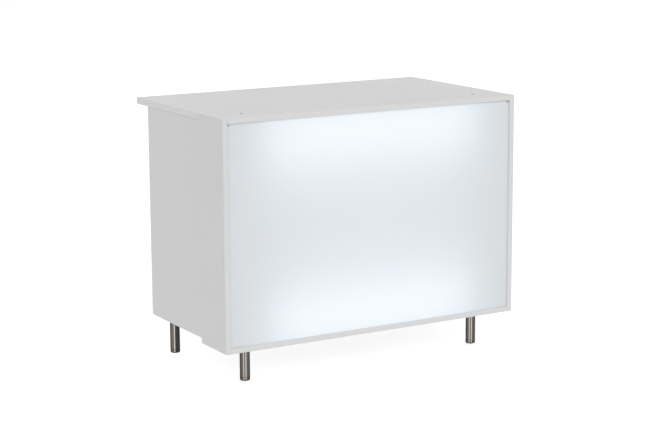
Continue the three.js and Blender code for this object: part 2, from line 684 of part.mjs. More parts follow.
function addLightBox(counter) {
  const box = groupAt(counter, 0, FRONT_Y, LEG_HEIGHT);
  for (const [sideName, side] of Object.entries(SIDES)) {
    piece(box, `light_box_${sideName}_side`, lightBoxSide(side), WHITE_LAMINATE);
    const shaft = piece(box, `tie_rod_${sideName}`, tieRod(), ZINC);
    shaft.position.set(side * ROD_X, FRONT_LEG_SETBACK, 0);
  }
  const roof = LIGHT_BOX_HEIGHT - LIGHT_BOX_BOARD;
  piece(box, "light_box_top", lightBoxLevel([roof, LIGHT_BOX_HEIGHT]), WHITE_LAMINATE);
  piece(box, "light_box_bottom", lightBoxLevel([0, LIGHT_BOX_BOARD]), WHITE_LAMINATE);
  piece(box, "light_box_back", backPanel(), WHITE_LAMINATE);
  piece(box, "opal_front", opalPanel(), OPAL_ACRYLIC);
  addLamp(box, "upper", roof, true);
  addLamp(box, "lower", LIGHT_BOX_BOARD, false);
  addInlet(box);
  piece(box, "upper_lamp_cable", upperCable(), WHITE_PLASTIC);
  piece(box, "lower_lamp_cable", lowerCable(), WHITE_PLASTIC);
  const clip = piece(box, "cable_clip", cableClip(), WHITE_PLASTIC);
  clip.position.set(cableStart(RIGHT).x, CABLE_WALL_Y, CLIP_LEVEL);
  addCornerBrackets(box);
}

// Shelf cabinet, in a frame at the middle of its lower edge against the light box

const CABINET_DEPTH_SPAN = [SEAT_GAP, CABINET_DEPTH];
const CABINET_WALL_TOP = CABINET_HEIGHT - SEAT_GAP;

// Rows of blind holes for shelf pins in the face at x, going in along the given way.
function pinHoles(faceX, way) {
  const x = span(faceX - way * CUT_MARGIN, faceX + way * PIN_HOLE_DEPTH);
  const holes = [];
  for (const y of PIN_ROWS) {
    for (let step = -PIN_HOLES_EACH_WAY; step <= PIN_HOLES_EACH_WAY; step++) {
      const z = PIN_LEVEL + step * PIN_HOLE_PITCH;
      holes.push(rodAlongX(PIN_DIAMETER / 2 + SEAT_GAP, x, y, z));
    }
  }
  return holes;
}

function cabinetSide(side) {
  const x = span(side * BAY_OUTER_X, side * HALF_WIDTH);
  const wall = board("x", x, CABINET_DEPTH_SPAN, [0, CABINET_WALL_TOP]);
  return cut(wall, ...pinHoles(side * BAY_OUTER_X, side));
}

function cabinetBottom() {
  const reach = BAY_OUTER_X - SEAT_GAP;
  return board("z", [-reach, reach], CABINET_DEPTH_SPAN, [0, CABINET_BOARD]);
}

function cabinetDivider() {
  const x = [-BAY_INNER_X, BAY_INNER_X];
  const wall = board("x", x, CABINET_DEPTH_SPAN, [CABINET_BOARD + SEAT_GAP, CABINET_WALL_TOP]);
  return cut(wall, ...pinHoles(-BAY_INNER_X, RIGHT), ...pinHoles(BAY_INNER_X, LEFT));
}

function worktop() {
  const y = [SEAT_GAP, CABINET_DEPTH + WORKTOP_OVERHANG];
  const z = [CABINET_HEIGHT, CABINET_HEIGHT + WORKTOP_BOARD];
  return board("z", [-HALF_WIDTH, HALF_WIDTH], y, z);
}

// A pin lies along +Z from the bottom of its hole. Its rest has a flat on the -X side.
function shelfPin() {
  const shank = PIN_HOLE_DEPTH - SEAT_GAP;
  const collarEnd = shank + SEAT_GAP + PIN_COLLAR;
  const end = collarEnd + PIN_REST_LENGTH;
  const rest = PIN_REST_DIAMETER / 2;
  const profile = [
    [0, 0],
    [PIN_DIAMETER / 2, 0],
    [PIN_DIAMETER / 2, shank + SEAT_GAP],
    [PIN_COLLAR_DIAMETER / 2, shank + SEAT_GAP],
    [PIN_COLLAR_DIAMETER / 2, collarEnd],
    [rest, collarEnd],
    [rest, end],
    [0, end],
  ];
  const flatX = [-rest - CUT_MARGIN, PIN_REST_FLAT - rest];
  const flat = block(flatX, [-rest, rest], [collarEnd, end + CUT_MARGIN]);
  return cut(turn(profile, SMALL_SIDES), flat);
}

// Pins in the wall of one bay: the pin at faceX points the given way, into the bay.
function addShelfPins(cabinet, name, faceX, way) {
  const rows = { front: PIN_ROWS[0], rear: PIN_ROWS[1] };
  for (const [rowName, y] of Object.entries(rows)) {
    const pin = piece(cabinet, `${name}_${rowName}`, shelfPin(), ZINC);
    const basis = new THREE.Matrix4().makeBasis(DOWN, new THREE.Vector3(0, way, 0), inwards(-way));
    pin.quaternion.setFromRotationMatrix(basis);
    pin.position.set(faceX - way * (PIN_HOLE_DEPTH - SEAT_GAP), y, PIN_LEVEL);
  }
}

function shelf(side) {
  const endSpace = PIN_COLLAR + 2 * SEAT_GAP;
  const x = span(side * (BAY_INNER_X + endSpace), side * (BAY_OUTER_X - endSpace));
  const underside = PIN_LEVEL + PIN_REST_DIAMETER / 2 - PIN_REST_FLAT + SEAT_GAP;
  const y = [SHELF_BACK_SPACE, CABINET_DEPTH - SHELF_SETBACK];
  return board("z", x, y, [underside, underside + SHELF_BOARD]);
}

function addCabinetBrackets(cabinet, sideName, side) {
  const rows = { front: WORKTOP_BRACKET_INSET, rear: CABINET_DEPTH - WORKTOP_BRACKET_INSET };
  for (const [rowName, y] of Object.entries(rows)) {
    const corner = new THREE.Vector3(side * BAY_OUTER_X, y, CABINET_HEIGHT);
    addBracket(cabinet, `worktop_bracket_${sideName}_${rowName}`, corner, inwards(side), DOWN);
  }
  const levels = { lower: MODULE_BRACKET_INSET, upper: CABINET_HEIGHT - MODULE_BRACKET_INSET };
  for (const [levelName, z] of Object.entries(levels)) {
    const corner = new THREE.Vector3(side * BAY_OUTER_X, 0, z);
    addBracket(cabinet, `module_bracket_${sideName}_${levelName}`, corner, inwards(side), TO_STAFF);
  }
}

function addCabinet(counter) {
  const cabinet = groupAt(counter, 0, FRONT_Y + LIGHT_BOX_DEPTH, CABINET_BASE);
  piece(cabinet, "cabinet_bottom", cabinetBottom(), WHITE_LAMINATE);
  piece(cabinet, "cabinet_divider", cabinetDivider(), WHITE_LAMINATE);
  piece(cabinet, "worktop", worktop(), WHITE_LAMINATE);
  for (const [sideName, side] of Object.entries(SIDES)) {
    piece(cabinet, `cabinet_${sideName}_side`, cabinetSide(side), WHITE_LAMINATE);
    piece(cabinet, `${sideName}_shelf`, shelf(side), WHITE_LAMINATE);
    addShelfPins(cabinet, `${sideName}_shelf_pin_outer`, side * BAY_OUTER_X, -side);
    addShelfPins(cabinet, `${sideName}_shelf_pin_inner`, side * BAY_INNER_X, side);
    addCabinetBrackets(cabinet, sideName, side);
  }
}

// Legs, in a frame on the floor under each leg

const LEG_FOOT_LEVEL = FOOT_HEIGHT + FOOT_NECK_HEIGHT;

function legFlange(underside) {
  const top = underside - SEAT_GAP;
  const lower = top - FLANGE_THICKNESS;
  const rim = LEG_DIAMETER / 2 + FLANGE_RIM;
  const bore = ROD_DIAMETER / 2 + SEAT_GAP;
  const profile = [
    [bore, lower - SPIGOT_LENGTH],
    [SPIGOT_RADIUS, lower - SPIGOT_LENGTH],
    [SPIGOT_RADIUS, lower],
    [rim, lower],
    [rim, top],
    [bore, top],
    [bore, lower - SPIGOT_LENGTH],
  ];
  const holes = [];
  for (let i = 0; i < FLANGE_SCREWS; i++) {
    const hole = rod(FLANGE_SCREW_HOLE / 2, grown([lower, top], CUT_MARGIN));
    hole.translate(LEG_DIAMETER / 2 + FLANGE_RIM / 2, 0, 0);
    holes.push(hole.rotateZ((2 * Math.PI * i) / FLANGE_SCREWS));
  }
  return cut(turn(profile, LEG_SIDES), ...holes);
}

function legTube(underside) {
  const outer = LEG_DIAMETER / 2;
  const inner = outer - LEG_WALL;
  const thread = STEM_DIAMETER / 2 + SEAT_GAP;
  const lower = LEG_FOOT_LEVEL + SEAT_GAP;
  const upper = underside - FLANGE_THICKNESS - 2 * SEAT_GAP;
  const profile = [
    [thread, lower],
    [outer - EDGE_EASE, lower],
    [outer, lower + EDGE_EASE],
    [outer, upper],
    [inner, upper],
    [inner, lower + LEG_PLUG],
    [thread, lower + LEG_PLUG],
    [thread, lower],
  ];
  return turn(profile, LEG_SIDES);
}

function levellingFoot() {
  const outer = LEG_DIAMETER / 2;
  const stem = STEM_DIAMETER / 2;
  const round = [];
  for (let i = 0; i <= ARC_STEPS; i++) {
    const angle = (Math.PI / 2) * (i / ARC_STEPS);
    const radius = outer - FOOT_ROUND + FOOT_ROUND * Math.sin(angle);
    round.push([radius, FOOT_ROUND - FOOT_ROUND * Math.cos(angle)]);
  }
  const stemTop = LEG_FOOT_LEVEL + STEM_LENGTH;
  const profile = [
    [0, 0],
    ...round,
    [outer, FOOT_HEIGHT],
    [outer - FOOT_NECK_INSET, FOOT_HEIGHT],
    [outer - FOOT_NECK_INSET, LEG_FOOT_LEVEL],
    [stem, LEG_FOOT_LEVEL],
    [stem, stemTop - EDGE_EASE],
    [stem - EDGE_EASE, stemTop],
    [0, stemTop],
  ];
  return turn(profile, LEG_SIDES);
}

function addLeg(counter, name, x, y, underside) {
  const leg = groupAt(counter, x, y, 0);
  piece(leg, `${name}_leg_flange`, legFlange(underside), STAINLESS);
  piece(leg, `${name}_leg`, legTube(underside), STAINLESS);
  piece(leg, `${name}_foot`, levellingFoot(), STAINLESS);
}

function addLegs(counter) {
  const frontY = FRONT_Y + FRONT_LEG_SETBACK;
  const rearY = FRONT_Y + LIGHT_BOX_DEPTH + CABINET_DEPTH - REAR_LEG_SETBACK;
  for (const [sideName, side] of Object.entries(SIDES)) {
    const rearX = side * (HALF_WIDTH - REAR_LEG_INSET);
    addLeg(counter, `front_${sideName}`, side * ROD_X, frontY, LEG_HEIGHT);
    addLeg(counter, `rear_${sideName}`, rearX, rearY, CABINET_BASE);
  }
}

const counter = new THREE.Group();
addLightBox(counter);
addCabinet(counter);
addLegs(counter);

export default counter;
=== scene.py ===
"""Looks of a bar counter with shelves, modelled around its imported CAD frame.

The file is laid out as an add-on: property groups hold the sizes and colours, an operator makes
each group of like pieces, and a panel in the 3D view's sidebar lists them. Run as a script, it
makes them all in order.
"""

import contextlib
import math
from functools import partial

import bmesh
import bpy
from mathutils import Euler, Matrix, Vector


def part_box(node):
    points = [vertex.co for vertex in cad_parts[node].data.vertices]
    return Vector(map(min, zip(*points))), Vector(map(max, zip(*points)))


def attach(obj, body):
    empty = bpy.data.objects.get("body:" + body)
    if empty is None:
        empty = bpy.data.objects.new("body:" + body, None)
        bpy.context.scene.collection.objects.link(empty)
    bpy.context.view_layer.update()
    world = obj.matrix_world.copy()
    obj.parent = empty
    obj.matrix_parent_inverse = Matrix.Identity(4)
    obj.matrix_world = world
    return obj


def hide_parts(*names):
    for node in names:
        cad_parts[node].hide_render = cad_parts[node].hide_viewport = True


bl_info = {
    "name": "Bar counter with shelves",
    "version": (1, 0, 0),
    "blender": (4, 5, 0),
    "location": "View3D > Sidebar > Counter",
    "description": "Models a lit bar counter with shelves around its CAD frame",
    "category": "Object",
}

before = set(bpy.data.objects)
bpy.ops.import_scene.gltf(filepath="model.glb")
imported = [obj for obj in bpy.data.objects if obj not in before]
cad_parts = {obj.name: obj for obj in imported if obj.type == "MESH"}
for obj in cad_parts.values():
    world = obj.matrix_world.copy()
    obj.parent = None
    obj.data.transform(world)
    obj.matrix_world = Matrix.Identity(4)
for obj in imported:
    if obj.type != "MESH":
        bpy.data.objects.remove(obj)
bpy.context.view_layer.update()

MM = 0.001
SEAT_GAP = 0.3 * MM  # between pieces that meet, as in the CAD
ROOM = Vector((SEAT_GAP, SEAT_GAP, SEAT_GAP))
CUT_MARGIN = 2 * MM  # cutting tools stand this far out of the board
NEAR = 0.01 * MM
FACING = 0.9  # least share of a normal along the way that its face looks
TURNED_SIDES = 64
SMALL_SIDES = 32
SMOOTH_ANGLE = math.radians(40)
FLAT_ANGLE = math.radians(1)
MERGE_DISTANCE = 1e-6
FRAME_BODY = "counter_frame"
SIDES = {"left": -1, "right": 1}
ROWS = ("front", "rear")
LEGS = [f"{row}_{side}" for row in ROWS for side in SIDES]
LAMPS = ("upper", "lower")
AXES = "xyz"

# Opal front
OPAL_PLAY = 0.9 * MM
OPAL_SCREW_IN = 8 * MM
# The front's glow is painted light: an emission shaped by the lamps' places and these sizes
OPAL_GLOW_DEPTH = 0.19  # how far behind the panel the lamps seem to be, in the white box
OPAL_GLOW_REACH = {"upper": 1.13, "lower": 1.07}  # seeming length of a lamp to its real one
OPAL_GLOW_SOFTNESS = 0.74  # of the glow's ends, to that across it
OPAL_GLOW_LEVEL = 0.85  # light before one lamp, on the scale of the glow colours
OPAL_GLOW_STOPS = (0.35, 0.73)  # light that has the faint and the middle colour

# Pins and their holes
PIN_HOLE_PITCH = 32 * MM
PIN_HOLES_IN_ROW = 7
PIN_HOLE_RADIUS = 2.8 * MM
PIN_HOLE_DEPTH = 8.5 * MM
PIN_SHANK_RADIUS = 2.5 * MM
PIN_COLLAR_RADIUS = 5 * MM
PIN_COLLAR = 1.5 * MM
PIN_REST_RADIUS = 4 * MM
PIN_FLAT = 1.2 * MM
PIN_CHAMFER = 0.4 * MM

# Tie rods
ROD_RADIUS = 5 * MM
ROD_HEAD_RADIUS = 8 * MM
ROD_HEAD_CHAMFER = 0.5 * MM
ROD_SOCKET_WIDTH = 6 * MM
ROD_SOCKET_DEPTH = 5 * MM
HEX_SIDES = 6

# Legs and feet
LEG_TURNS = dict(zip(LEGS, map(math.radians, (152, 145, -25, 60))))  # turns of the legs and feet, which set where their painted reflections fall
LEG_WALL = 1.5 * MM
LEG_PLUG = 12 * MM
LEG_EASE = 0.8 * MM
STEM_RADIUS = 6 * MM
FOOT_HEIGHT = 15 * MM
FOOT_ROUND = 4 * MM
FOOT_NECK = 2 * MM
FOOT_NECK_INSET = 3 * MM
FOOT_PAD = 0.8 * MM
FOOT_PAD_INSET = 6 * MM
FOOT_RING = 6.5 * MM  # the foot is black from its bottom up to here
FOOT_RING_GROOVE = 0.3 * MM
FOOT_TRAVEL = 20 * MM  # the floor leaves room for the feet screwed right out
FLANGE_THICKNESS = 4 * MM
FLANGE_SCREWS = 3
FLANGE_SCREW_RADIUS = 29 * MM

# Angle brackets and their screws
BRACKET_REACH = 30 * MM
BRACKET_WIDTH = 22 * MM
BRACKET_SHEET = 2 * MM
BRACKET_BEND = 3.5 * MM
BRACKET_CORNER = 4 * MM
BRACKET_HOLE_REACH = 19 * MM
SCREW_RADIUS = 3.8 * MM
SCREW_RIM = 0.7 * MM
SCREW_HEAD = 2.5 * MM
SCREW_SINK = 0.1 * MM
SCREW_SLOT = 0.9 * MM
SCREW_SLOT_LENGTH = 4.4 * MM
SCREW_SLOT_DEPTH = 1.4 * MM

# Lamps
TUBE_RADIUS = 13 * MM
CAP_RADIUS = 14 * MM
CAP_LENGTH = 20 * MM
TUBE_PIN_RADIUS = 1.2 * MM
TUBE_PIN_LENGTH = 7 * MM
TUBE_PIN_SPACING = 12.7 * MM
TUBE_FADE = 80 * MM  # the glass grows darker from here to its end
TUBE_END_LIGHT = 0.35
BATTEN_WALL = 1.2 * MM
BATTEN_HEIGHT = 36 * MM
HOLDER_ARM = 26 * MM
HOLDER_THICKNESS = 14 * MM

# Power inlet and switch
INLET_LIP = 3 * MM
INLET_LIP_THICKNESS = 2.5 * MM
INLET_EDGE = 0.8 * MM
SOCKET_WIDTH = 24.6 * MM
SOCKET_HEIGHT = 16.4 * MM
SOCKET_CORNER = 4.5 * MM
SOCKET_DEPTH = 20 * MM
SOCKET_DROP = 13 * MM
BLADE_LENGTH = 14 * MM
BLADE_HEIGHT = 4 * MM
BLADE_THICKNESS = 2 * MM
BLADE_SPACING = 7 * MM
BLADE_STAGGER = 2 * MM
ROCKER_WIDTH = 12 * MM
ROCKER_LENGTH = 18 * MM
ROCKER_RISE = 14 * MM
ROCKER_BACK_RADIUS = 8 * MM
ROCKER_FACE = 5.5 * MM
ROCKER_DISH = 1.4 * MM
ROCKER_PIVOT_DEPTH = 4.5 * MM
ROCKER_TILT = math.radians(8)
TRUNNION_RADIUS = 2 * MM
TRUNNION_LENGTH = 1.2 * MM

# Lamp cables
CABLE_RADIUS = 3.5 * MM
CABLE_STEPS = 24
CABLE_ROUNDNESS = 4
CABLE_SPREAD = 6 * MM
CABLE_ENTRY = 18 * MM
CLIP_SHEET = 1.2 * MM
WALL_RUN = (560 * MM, 800 * MM)
LEAVE_INLET = Vector((0, -130, 0)) * MM
REACH_WALL = Vector((0, 0, -70)) * MM
LEAVE_WALL = Vector((0, 0, 130)) * MM
REACH_HOLDER = Vector((100, 0, 0)) * MM

# Surfaces
CLOUD_SCALE = 3.0
PEARL_SCALE = 900.0
PEARL_SHARE = 0.3  # of the sheen's unevenness, which follows the clouds for the rest
SCUFF_TURN = (0.2, 0.4, 0.6)
SCUFF_DRAW = (1.0, 9.0, 9.0)  # squeezes a noise into lines
SCUFF_LINES = (0.62, 0.7)  # values of a noise where a line starts and where it is full
SCUFF_PATCHES = (0.5, 0.65)  # the same for the patches that the lines lie in
SCUFF_PATCH_SCALE = 5.0
GRIT_SCALE = 1500.0
SPANGLE_LEVELS = (0.86, 1.1)  # brightness of a plate's patches
BRUSH_DRAW = (1.0, 1.0, 0.12)  # draws a noise out along the leg
BRUSH_LEVELS = (0.85, 1.15)
BRUSH_ROUGHNESS = (0.2, 0.36)
WANDER_SCALE = 6.0
SHEEN_SPREAD = 0.08  # of a sheet's roughness, each way
SPANGLE_SPREAD = 0.07  # of a plate's roughness, each way
NOISE_SPAN = (0.3, 0.7)  # most of a noise's values
SHEET_RELIEF = 0.1 * MM
METAL_RELIEF = 0.05 * MM
WHITE = (1, 1, 1, 1)
# darkest painted reflection in the steel's colour, on the flanks of the legs
STEEL_DARKEST = 0.1
STEEL_SHEEN = (0.35, 0.33, 0.31, 1)
# Painted reflections in the steel's colour: its brightness at parts of a turn round the leg, two
# bright lines on one face of it and one on the other, darker between
STEEL_PAINTED_REFLECTIONS = (
    (0.078, 0.12), (0.139, 0.19), (0.189, 0.22), (0.2, 0.3), (0.207, 1.0), (0.224, 1.0),
    (0.232, 0.2), (0.268, 0.2), (0.276, 1.0), (0.293, 1.0), (0.3, 0.3), (0.317, 0.2),
    (0.375, 0.17), (0.43, 0.11), (0.5, 0.1), (0.569, 0.15), (0.639, 0.2), (0.7, 0.27),
    (0.719, 0.4), (0.725, 1.0), (0.744, 1.0), (0.753, 0.09), (0.875, 0.1), (0.939, 0.06),
)

# Stage
FLOOR_SIZE = 40.0
FLOOR_LIFT = 0.63  # what the camera sees of the floor above its own light
FRONT_LIGHT_FROM = Vector((-0.392, -0.808, 0.44))
REAR_LIGHT_FROM = Vector((0.25, 0.968, 0.02))
LIGHT_AWAY = 6.0
LIGHT_SPREAD = math.radians(40)
SENSOR = 36.0


# Properties


def length_property(name, description, default, low, high):
    """A length with its range, in millimetres."""
    return bpy.props.FloatProperty(
        name=name,
        description=description,
        default=default * MM,
        min=low * MM,
        max=high * MM,
        unit="LENGTH",
    )


def colour_property(name, description, *default):
    return bpy.props.FloatVectorProperty(
        name=name, description=description, subtype="COLOR", min=0, max=1, default=default
    )


def angle_property(name, description, degrees):
    return bpy.props.FloatProperty(
        name=name, description=description, subtype="ANGLE", default=math.radians(degrees)
    )


def light_property(name, description, default, most):
    return bpy.props.FloatProperty(
        name=name, description=description, default=default, min=0, max=most
    )


class CounterSizes(bpy.types.PropertyGroup):
    """Small sizes of the boards and fittings"""

    edge_round: length_property("Edge rounding", "Radius on the edges of the boards", 1.2, 0.2, 1.8)
    band: length_property("Edge band", "Thickness of the bands on the boards' edges", 2, 2, 3)
    seam: length_property(
        "Band seam", "Width and depth of the fine joint between a board and its band", 0.3, 0.1, 0.5
    )
    opal_round: length_property("Opal edge", "Radius on the edges of the opal front", 0.6, 0.2, 2)


class CounterColours(bpy.types.PropertyGroup):
    """Colours of the finishes and the floor"""

    laminate: colour_property("Laminate", "Faces of the boards", 0.727, 0.727, 0.742)
    edge_band: colour_property("Edge band", "Bands on the boards' edges", 0.745, 0.742, 0.74)
    opal: colour_property("Opal front", "Unlit acrylic of the front", 0.735, 0.75, 0.762)
    # Colours of the opal front's painted glow, an emission that stands for the lamps' light through
    # it
    glow_faint: colour_property(
        "Faint glow", "Light through the front far from the lamps", 0.085, 0.128, 0.165
    )
    glow_middle: colour_property(
        "Middle glow", "Light through the front near a lamp", 0.19, 0.235, 0.27
    )
    glow_bright: colour_property(
        "Bright glow", "Light through the front right before a lamp", 0.26, 0.3, 0.29
    )
    stainless: colour_property("Stainless steel", "Legs and feet", 0.62, 0.555, 0.505)
    zinc: colour_property("Zinc plate", "Brackets, screws and pins", 0.46, 0.47, 0.49)
    burnished: colour_property("Burnished steel", "Tie rods", 0.13, 0.135, 0.15)
    enamel: colour_property("Enamel", "Battens of the lamps", 0.78, 0.79, 0.79)
    glass: colour_property("Lamp glass", "Coated glass of the lamps", 0.86, 0.88, 0.89)
    lamp_light: colour_property("Lamp light", "Light of the lamps", 0.95, 0.98, 1.0)
    cap: colour_property("Lamp caps", "Metal ends of the lamps", 0.62, 0.62, 0.63)
    nickel: colour_property("Nickel", "Blades of the power inlet", 0.58, 0.55, 0.5)
    white_plastic: colour_property(
        "White plastic", "Lampholders, cables and clip", 0.73, 0.735, 0.735
    )
    black_plastic: colour_property(
        "Black plastic", "Power inlet, switch and foot pads", 0.012, 0.012, 0.013
    )
    floor: colour_property("Floor", "Floor of the stage", 0.82, 0.82, 0.82)


class CounterStage(bpy.types.PropertyGroup):
    """Camera and light"""

    place: bpy.props.FloatVectorProperty(
        name="Camera place",
        description="Where the camera stands",
        subtype="TRANSLATION",
        default=(-3.8862, -6.6310, 2.0717),
    )
    yaw: angle_property("Yaw", "Camera's turn from straight ahead towards the right", 30.4901)
    pitch: angle_property("Pitch", "Camera's tilt below the horizon", 10.9661)
    roll: angle_property("Roll", "Camera's turn about its own view", 0.2878)
    lens: bpy.props.FloatProperty(
        name="Lens",
        description="Focal length in millimetres",
        default=98.83,
        min=10,
        max=300,
        unit="CAMERA",
    )
    room_light: light_property("Room light", "Even light from all round", 0.548, 2)
    front_light: light_property("Front light", "Soft light from the customers' side", 1.23, 10)
    rear_light: light_property("Rear light", "Soft light from the staff side", 1.3, 10)


# Selecting and editing


def deselect():
    bpy.ops.object.select_all(action="DESELECT")


def choose(piece):
    deselect()
    piece.select_set(True)
    bpy.context.view_layer.objects.active = piece


def pick_all():
    bpy.ops.mesh.select_all(action="SELECT")


def pick_none():
    bpy.ops.mesh.select_all(action="DESELECT")


@contextlib.contextmanager
def editing(piece, kind="EDGE"):
    """Edit mode on one piece, with nothing selected at first."""
    choose(piece)
    bpy.ops.object.mode_set(mode="EDIT")
    bpy.ops.mesh.select_mode(type=kind)
    pick_none()
    yield
    bpy.ops.object.mode_set(mode="OBJECT")


def near(value, target):
    return abs(value - target) < NEAR


def pick(piece, parts, wanted):
    """Selects the vertices, edges or faces that pass the test."""
    mesh = bmesh.from_edit_mesh(piece.data)
    for part in getattr(mesh, parts):
        if wanted(part):
            part.select_set(True)
    mesh.select_flush_mode()
    bmesh.update_edit_mesh(piece.data)


def lies_at(place, spots):
    """Whether a point has the given coordinates, such as x=0."""
    return all(near(getattr(place, axis), value) for axis, value in spots.items())


def pick_edges(piece, along=None, **spots):
    """Selects the edges that run along a named axis and have both ends at the coordinates."""

    def wanted(edge):
        start, end = (vertex.co for vertex in edge.verts)
        run = end - start
        straight = not along or near(abs(getattr(run, along)), run.length)
        return straight and lies_at(start, spots) and lies_at(end, spots)

    pick(piece, "edges", wanted)


def pick_faces(piece, wanted):
    """Selects the faces whose middle and normal pass the test."""
    pick(piece, "faces", lambda face: wanted(face.calc_center_median(), face.normal))


def pick_vertices(piece, **spots):
    pick(piece, "verts", lambda vertex: lies_at(vertex.co, spots))


# Solids


at = Matrix.Translation


def spin(angle, axis):
    return Matrix.Rotation(angle, 4, axis)


def middle_of(node):
    low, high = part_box(node)
    return (low + high) / 2


def half_of(node):
    low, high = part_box(node)
    return (high - low) / 2


def axis_of(node, level=0.0):
    """The point on a node's upright axis at a level."""
    x, y, _ = middle_of(node)
    return Vector((x, y, level))


def add_block(low, high):
    """A box between two corners, the start of most pieces."""
    low, high = Vector(low), Vector(high)
    deselect()
    bpy.ops.mesh.primitive_cube_add(size=1, location=(low + high) / 2, scale=high - low)
    bpy.ops.object.transform_apply()
    return bpy.context.object


def round_edges(piece, radius, segments=3, along=None, **spots):
    """Rounds all edges, or those along a named axis and at the coordinates."""
    with editing(piece):
        pick_edges(piece, along, **spots)
        bpy.ops.mesh.bevel(offset=radius, segments=segments)


def turned(profile, middle=(0, 0, 0), axis="z", hollow=False, sides=TURNED_SIDES):
    """A disc that is extruded and scaled along steps of (radius, place on the axis).

    A hollow profile starts as a ring and comes back to its first step.
    """
    middle = Vector(middle)
    way = Vector([float(axis == letter) for letter in AXES])
    tilt = way.to_track_quat("Z", "Y").to_euler() if axis != "z" else Euler()
    radius, along = profile[0]
    deselect()
    bpy.ops.mesh.primitive_circle_add(
        vertices=sides,
        radius=radius,
        fill_type="NOTHING" if hollow else "NGON",
        location=middle + way * along,
        rotation=tilt,
    )
    bpy.ops.object.transform_apply()
    piece = bpy.context.object
    with editing(piece, "VERT"):
        pick_all()
        for next_radius, next_along in profile[1:]:
            step = way * (next_along - along)
            bpy.ops.mesh.extrude_region_move(TRANSFORM_OT_translate={"value": step})
            grow = next_radius / radius
            bpy.ops.transform.resize(
                value=[1 if part else grow for part in way],
                center_override=middle + way * next_along,
            )
            radius, along = next_radius, next_along
        pick_all()
        bpy.ops.mesh.remove_doubles(threshold=MERGE_DISTANCE)
        bpy.ops.mesh.normals_make_consistent(inside=False)
    return piece


def rod(radius, start, end, middle=(0, 0, 0), axis="z", sides=SMALL_SIDES):
    """A plain round rod along an axis, mostly a tool that cuts a hole."""
    return turned([(radius, start), (radius, end)], middle, axis, sides=sides)


def quarter_round(radius, centre, start, steps=6):
    """Steps of a profile along a quarter circle, anticlockwise from the start angle."""
    across, along = centre
    angles = [start + math.pi / 2 * step / steps for step in range(steps + 1)]
    return [(across + radius * math.cos(a), along + radius * math.sin(a)) for a in angles]


def modify(piece, kind, **settings):
    """Gives a piece a modifier with its settings, and applies it."""
    choose(piece)
    bpy.ops.object.modifier_add(type=kind)
    modifier = piece.modifiers[-1]
    for key, value in settings.items():
        setattr(modifier, key, value)
    bpy.ops.object.modifier_apply(modifier=modifier.name)


def combine(piece, tool, operation):
    """Cuts the tool out of the piece or fuses it on, and uses the tool up."""
    modify(piece, "BOOLEAN", operation=operation, solver="EXACT", object=tool)
    discard(tool)
    with editing(piece, "VERT"):
        pick_all()
        bpy.ops.mesh.remove_doubles(threshold=MERGE_DISTANCE)
        bpy.ops.mesh.dissolve_degenerate(threshold=MERGE_DISTANCE)


def cut(piece, *tools):
    for tool in tools:
        combine(piece, tool, "DIFFERENCE")


def fuse(piece, *tools):
    for tool in tools:
        combine(piece, tool, "UNION")


def joined(piece, *others):
    """Puts several bodies into one mesh."""
    choose(piece)
    for other in others:
        other.select_set(True)
    bpy.ops.object.join()
    return piece


def placed(piece, place):
    """Moves a piece to its place and leaves its object at the origin."""
    choose(piece)
    piece.matrix_world = place
    bpy.ops.object.transform_apply()
    return piece


def copy_of(piece, place):
    choose(piece)
    bpy.ops.object.duplicate(linked=False)
    return placed(bpy.context.object, place)


def discard(*pieces):
    for piece in pieces:
        bpy.data.objects.remove(piece)


def copies(pattern, places):
    """Each name with a copy of the pattern at its place. The pattern goes at the end."""
    for name, place in places.items():
        yield name, copy_of(pattern, place)
    discard(pattern)


def repeated(piece, count, step):
    """Repeats a piece along a step inside its own mesh."""
    modify(
        piece,
        "ARRAY",
        count=count,
        use_relative_offset=False,
        use_constant_offset=True,
        constant_offset_displace=step,
    )


def mark_grain(piece):
    """Keeps, at each point of a piece round Z, its direction from the axis and its height."""
    grain = piece.data.attributes.new("grain", "FLOAT_VECTOR", "POINT")
    for vertex, value in zip(piece.data.vertices, grain.data):
        value.vector = (*vertex.co.xy.normalized(), vertex.co.z)
    return piece


def dress(piece, *finishes):
    for name in finishes:
        piece.data.materials.append(material(name))


def paint(piece, wanted):
    """Gives the faces whose middle passes the test the second of the piece's materials."""
    for face in piece.data.polygons:
        if wanted(face.center):
            face.material_index = 1


def finish(piece, name, *finishes, body=FRAME_BODY, node=None):
    """Shades, names and dresses a piece, and sets it on its body."""
    choose(piece)
    bpy.ops.object.shade_smooth_by_angle(angle=SMOOTH_ANGLE)
    modify(piece, "WEIGHTED_NORMAL", keep_sharp=True)
    piece.name = name
    piece.data.name = name
    dress(piece, *finishes)
    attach(piece, body)
    if node:
        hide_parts(node)


# Shader nodes


def feed(tree, node, values):
    """Sets values on a node's inputs, or links them there."""
    for key, value in values.items():
        if isinstance(value, bpy.types.NodeSocket):
            tree.links.new(value, node.inputs[key])
        else:
            node.inputs[key].default_value = value
    return node.outputs


def add(tree, kind, values, **settings):
    node = tree.nodes.new(f"ShaderNode{kind}")
    for key, value in settings.items():
        setattr(node, key, value)
    return feed(tree, node, values)


def maths(tree, operation, *values):
    return add(tree, "Math", dict(enumerate(values)), operation=operation)[0]


def ranged(tree, value, low, high, start=0.0, end=1.0):
    """A value from start to end, brought to the range from low to high."""
    spans = {"Value": value, "From Min": start, "From Max": end, "To Min": low, "To Max": high}
    return add(tree, "MapRange", spans)["Result"]


def own_place(tree):
    return add(tree, "TexCoord", {})["Object"]


def noise(tree, place, scale, detail, **values):
    values.update(Vector=place, Scale=scale, Detail=detail)
    return add(tree, "TexNoise", values)["Fac"]


def shaded(tree, tint, level):
    return add(tree, "VectorMath", {0: tint, "Scale": level}, operation="SCALE")["Vector"]


def relief(tree, height, strength, depth):
    return add(tree, "Bump", {"Height": height, "Strength": strength, "Distance": depth})["Normal"]


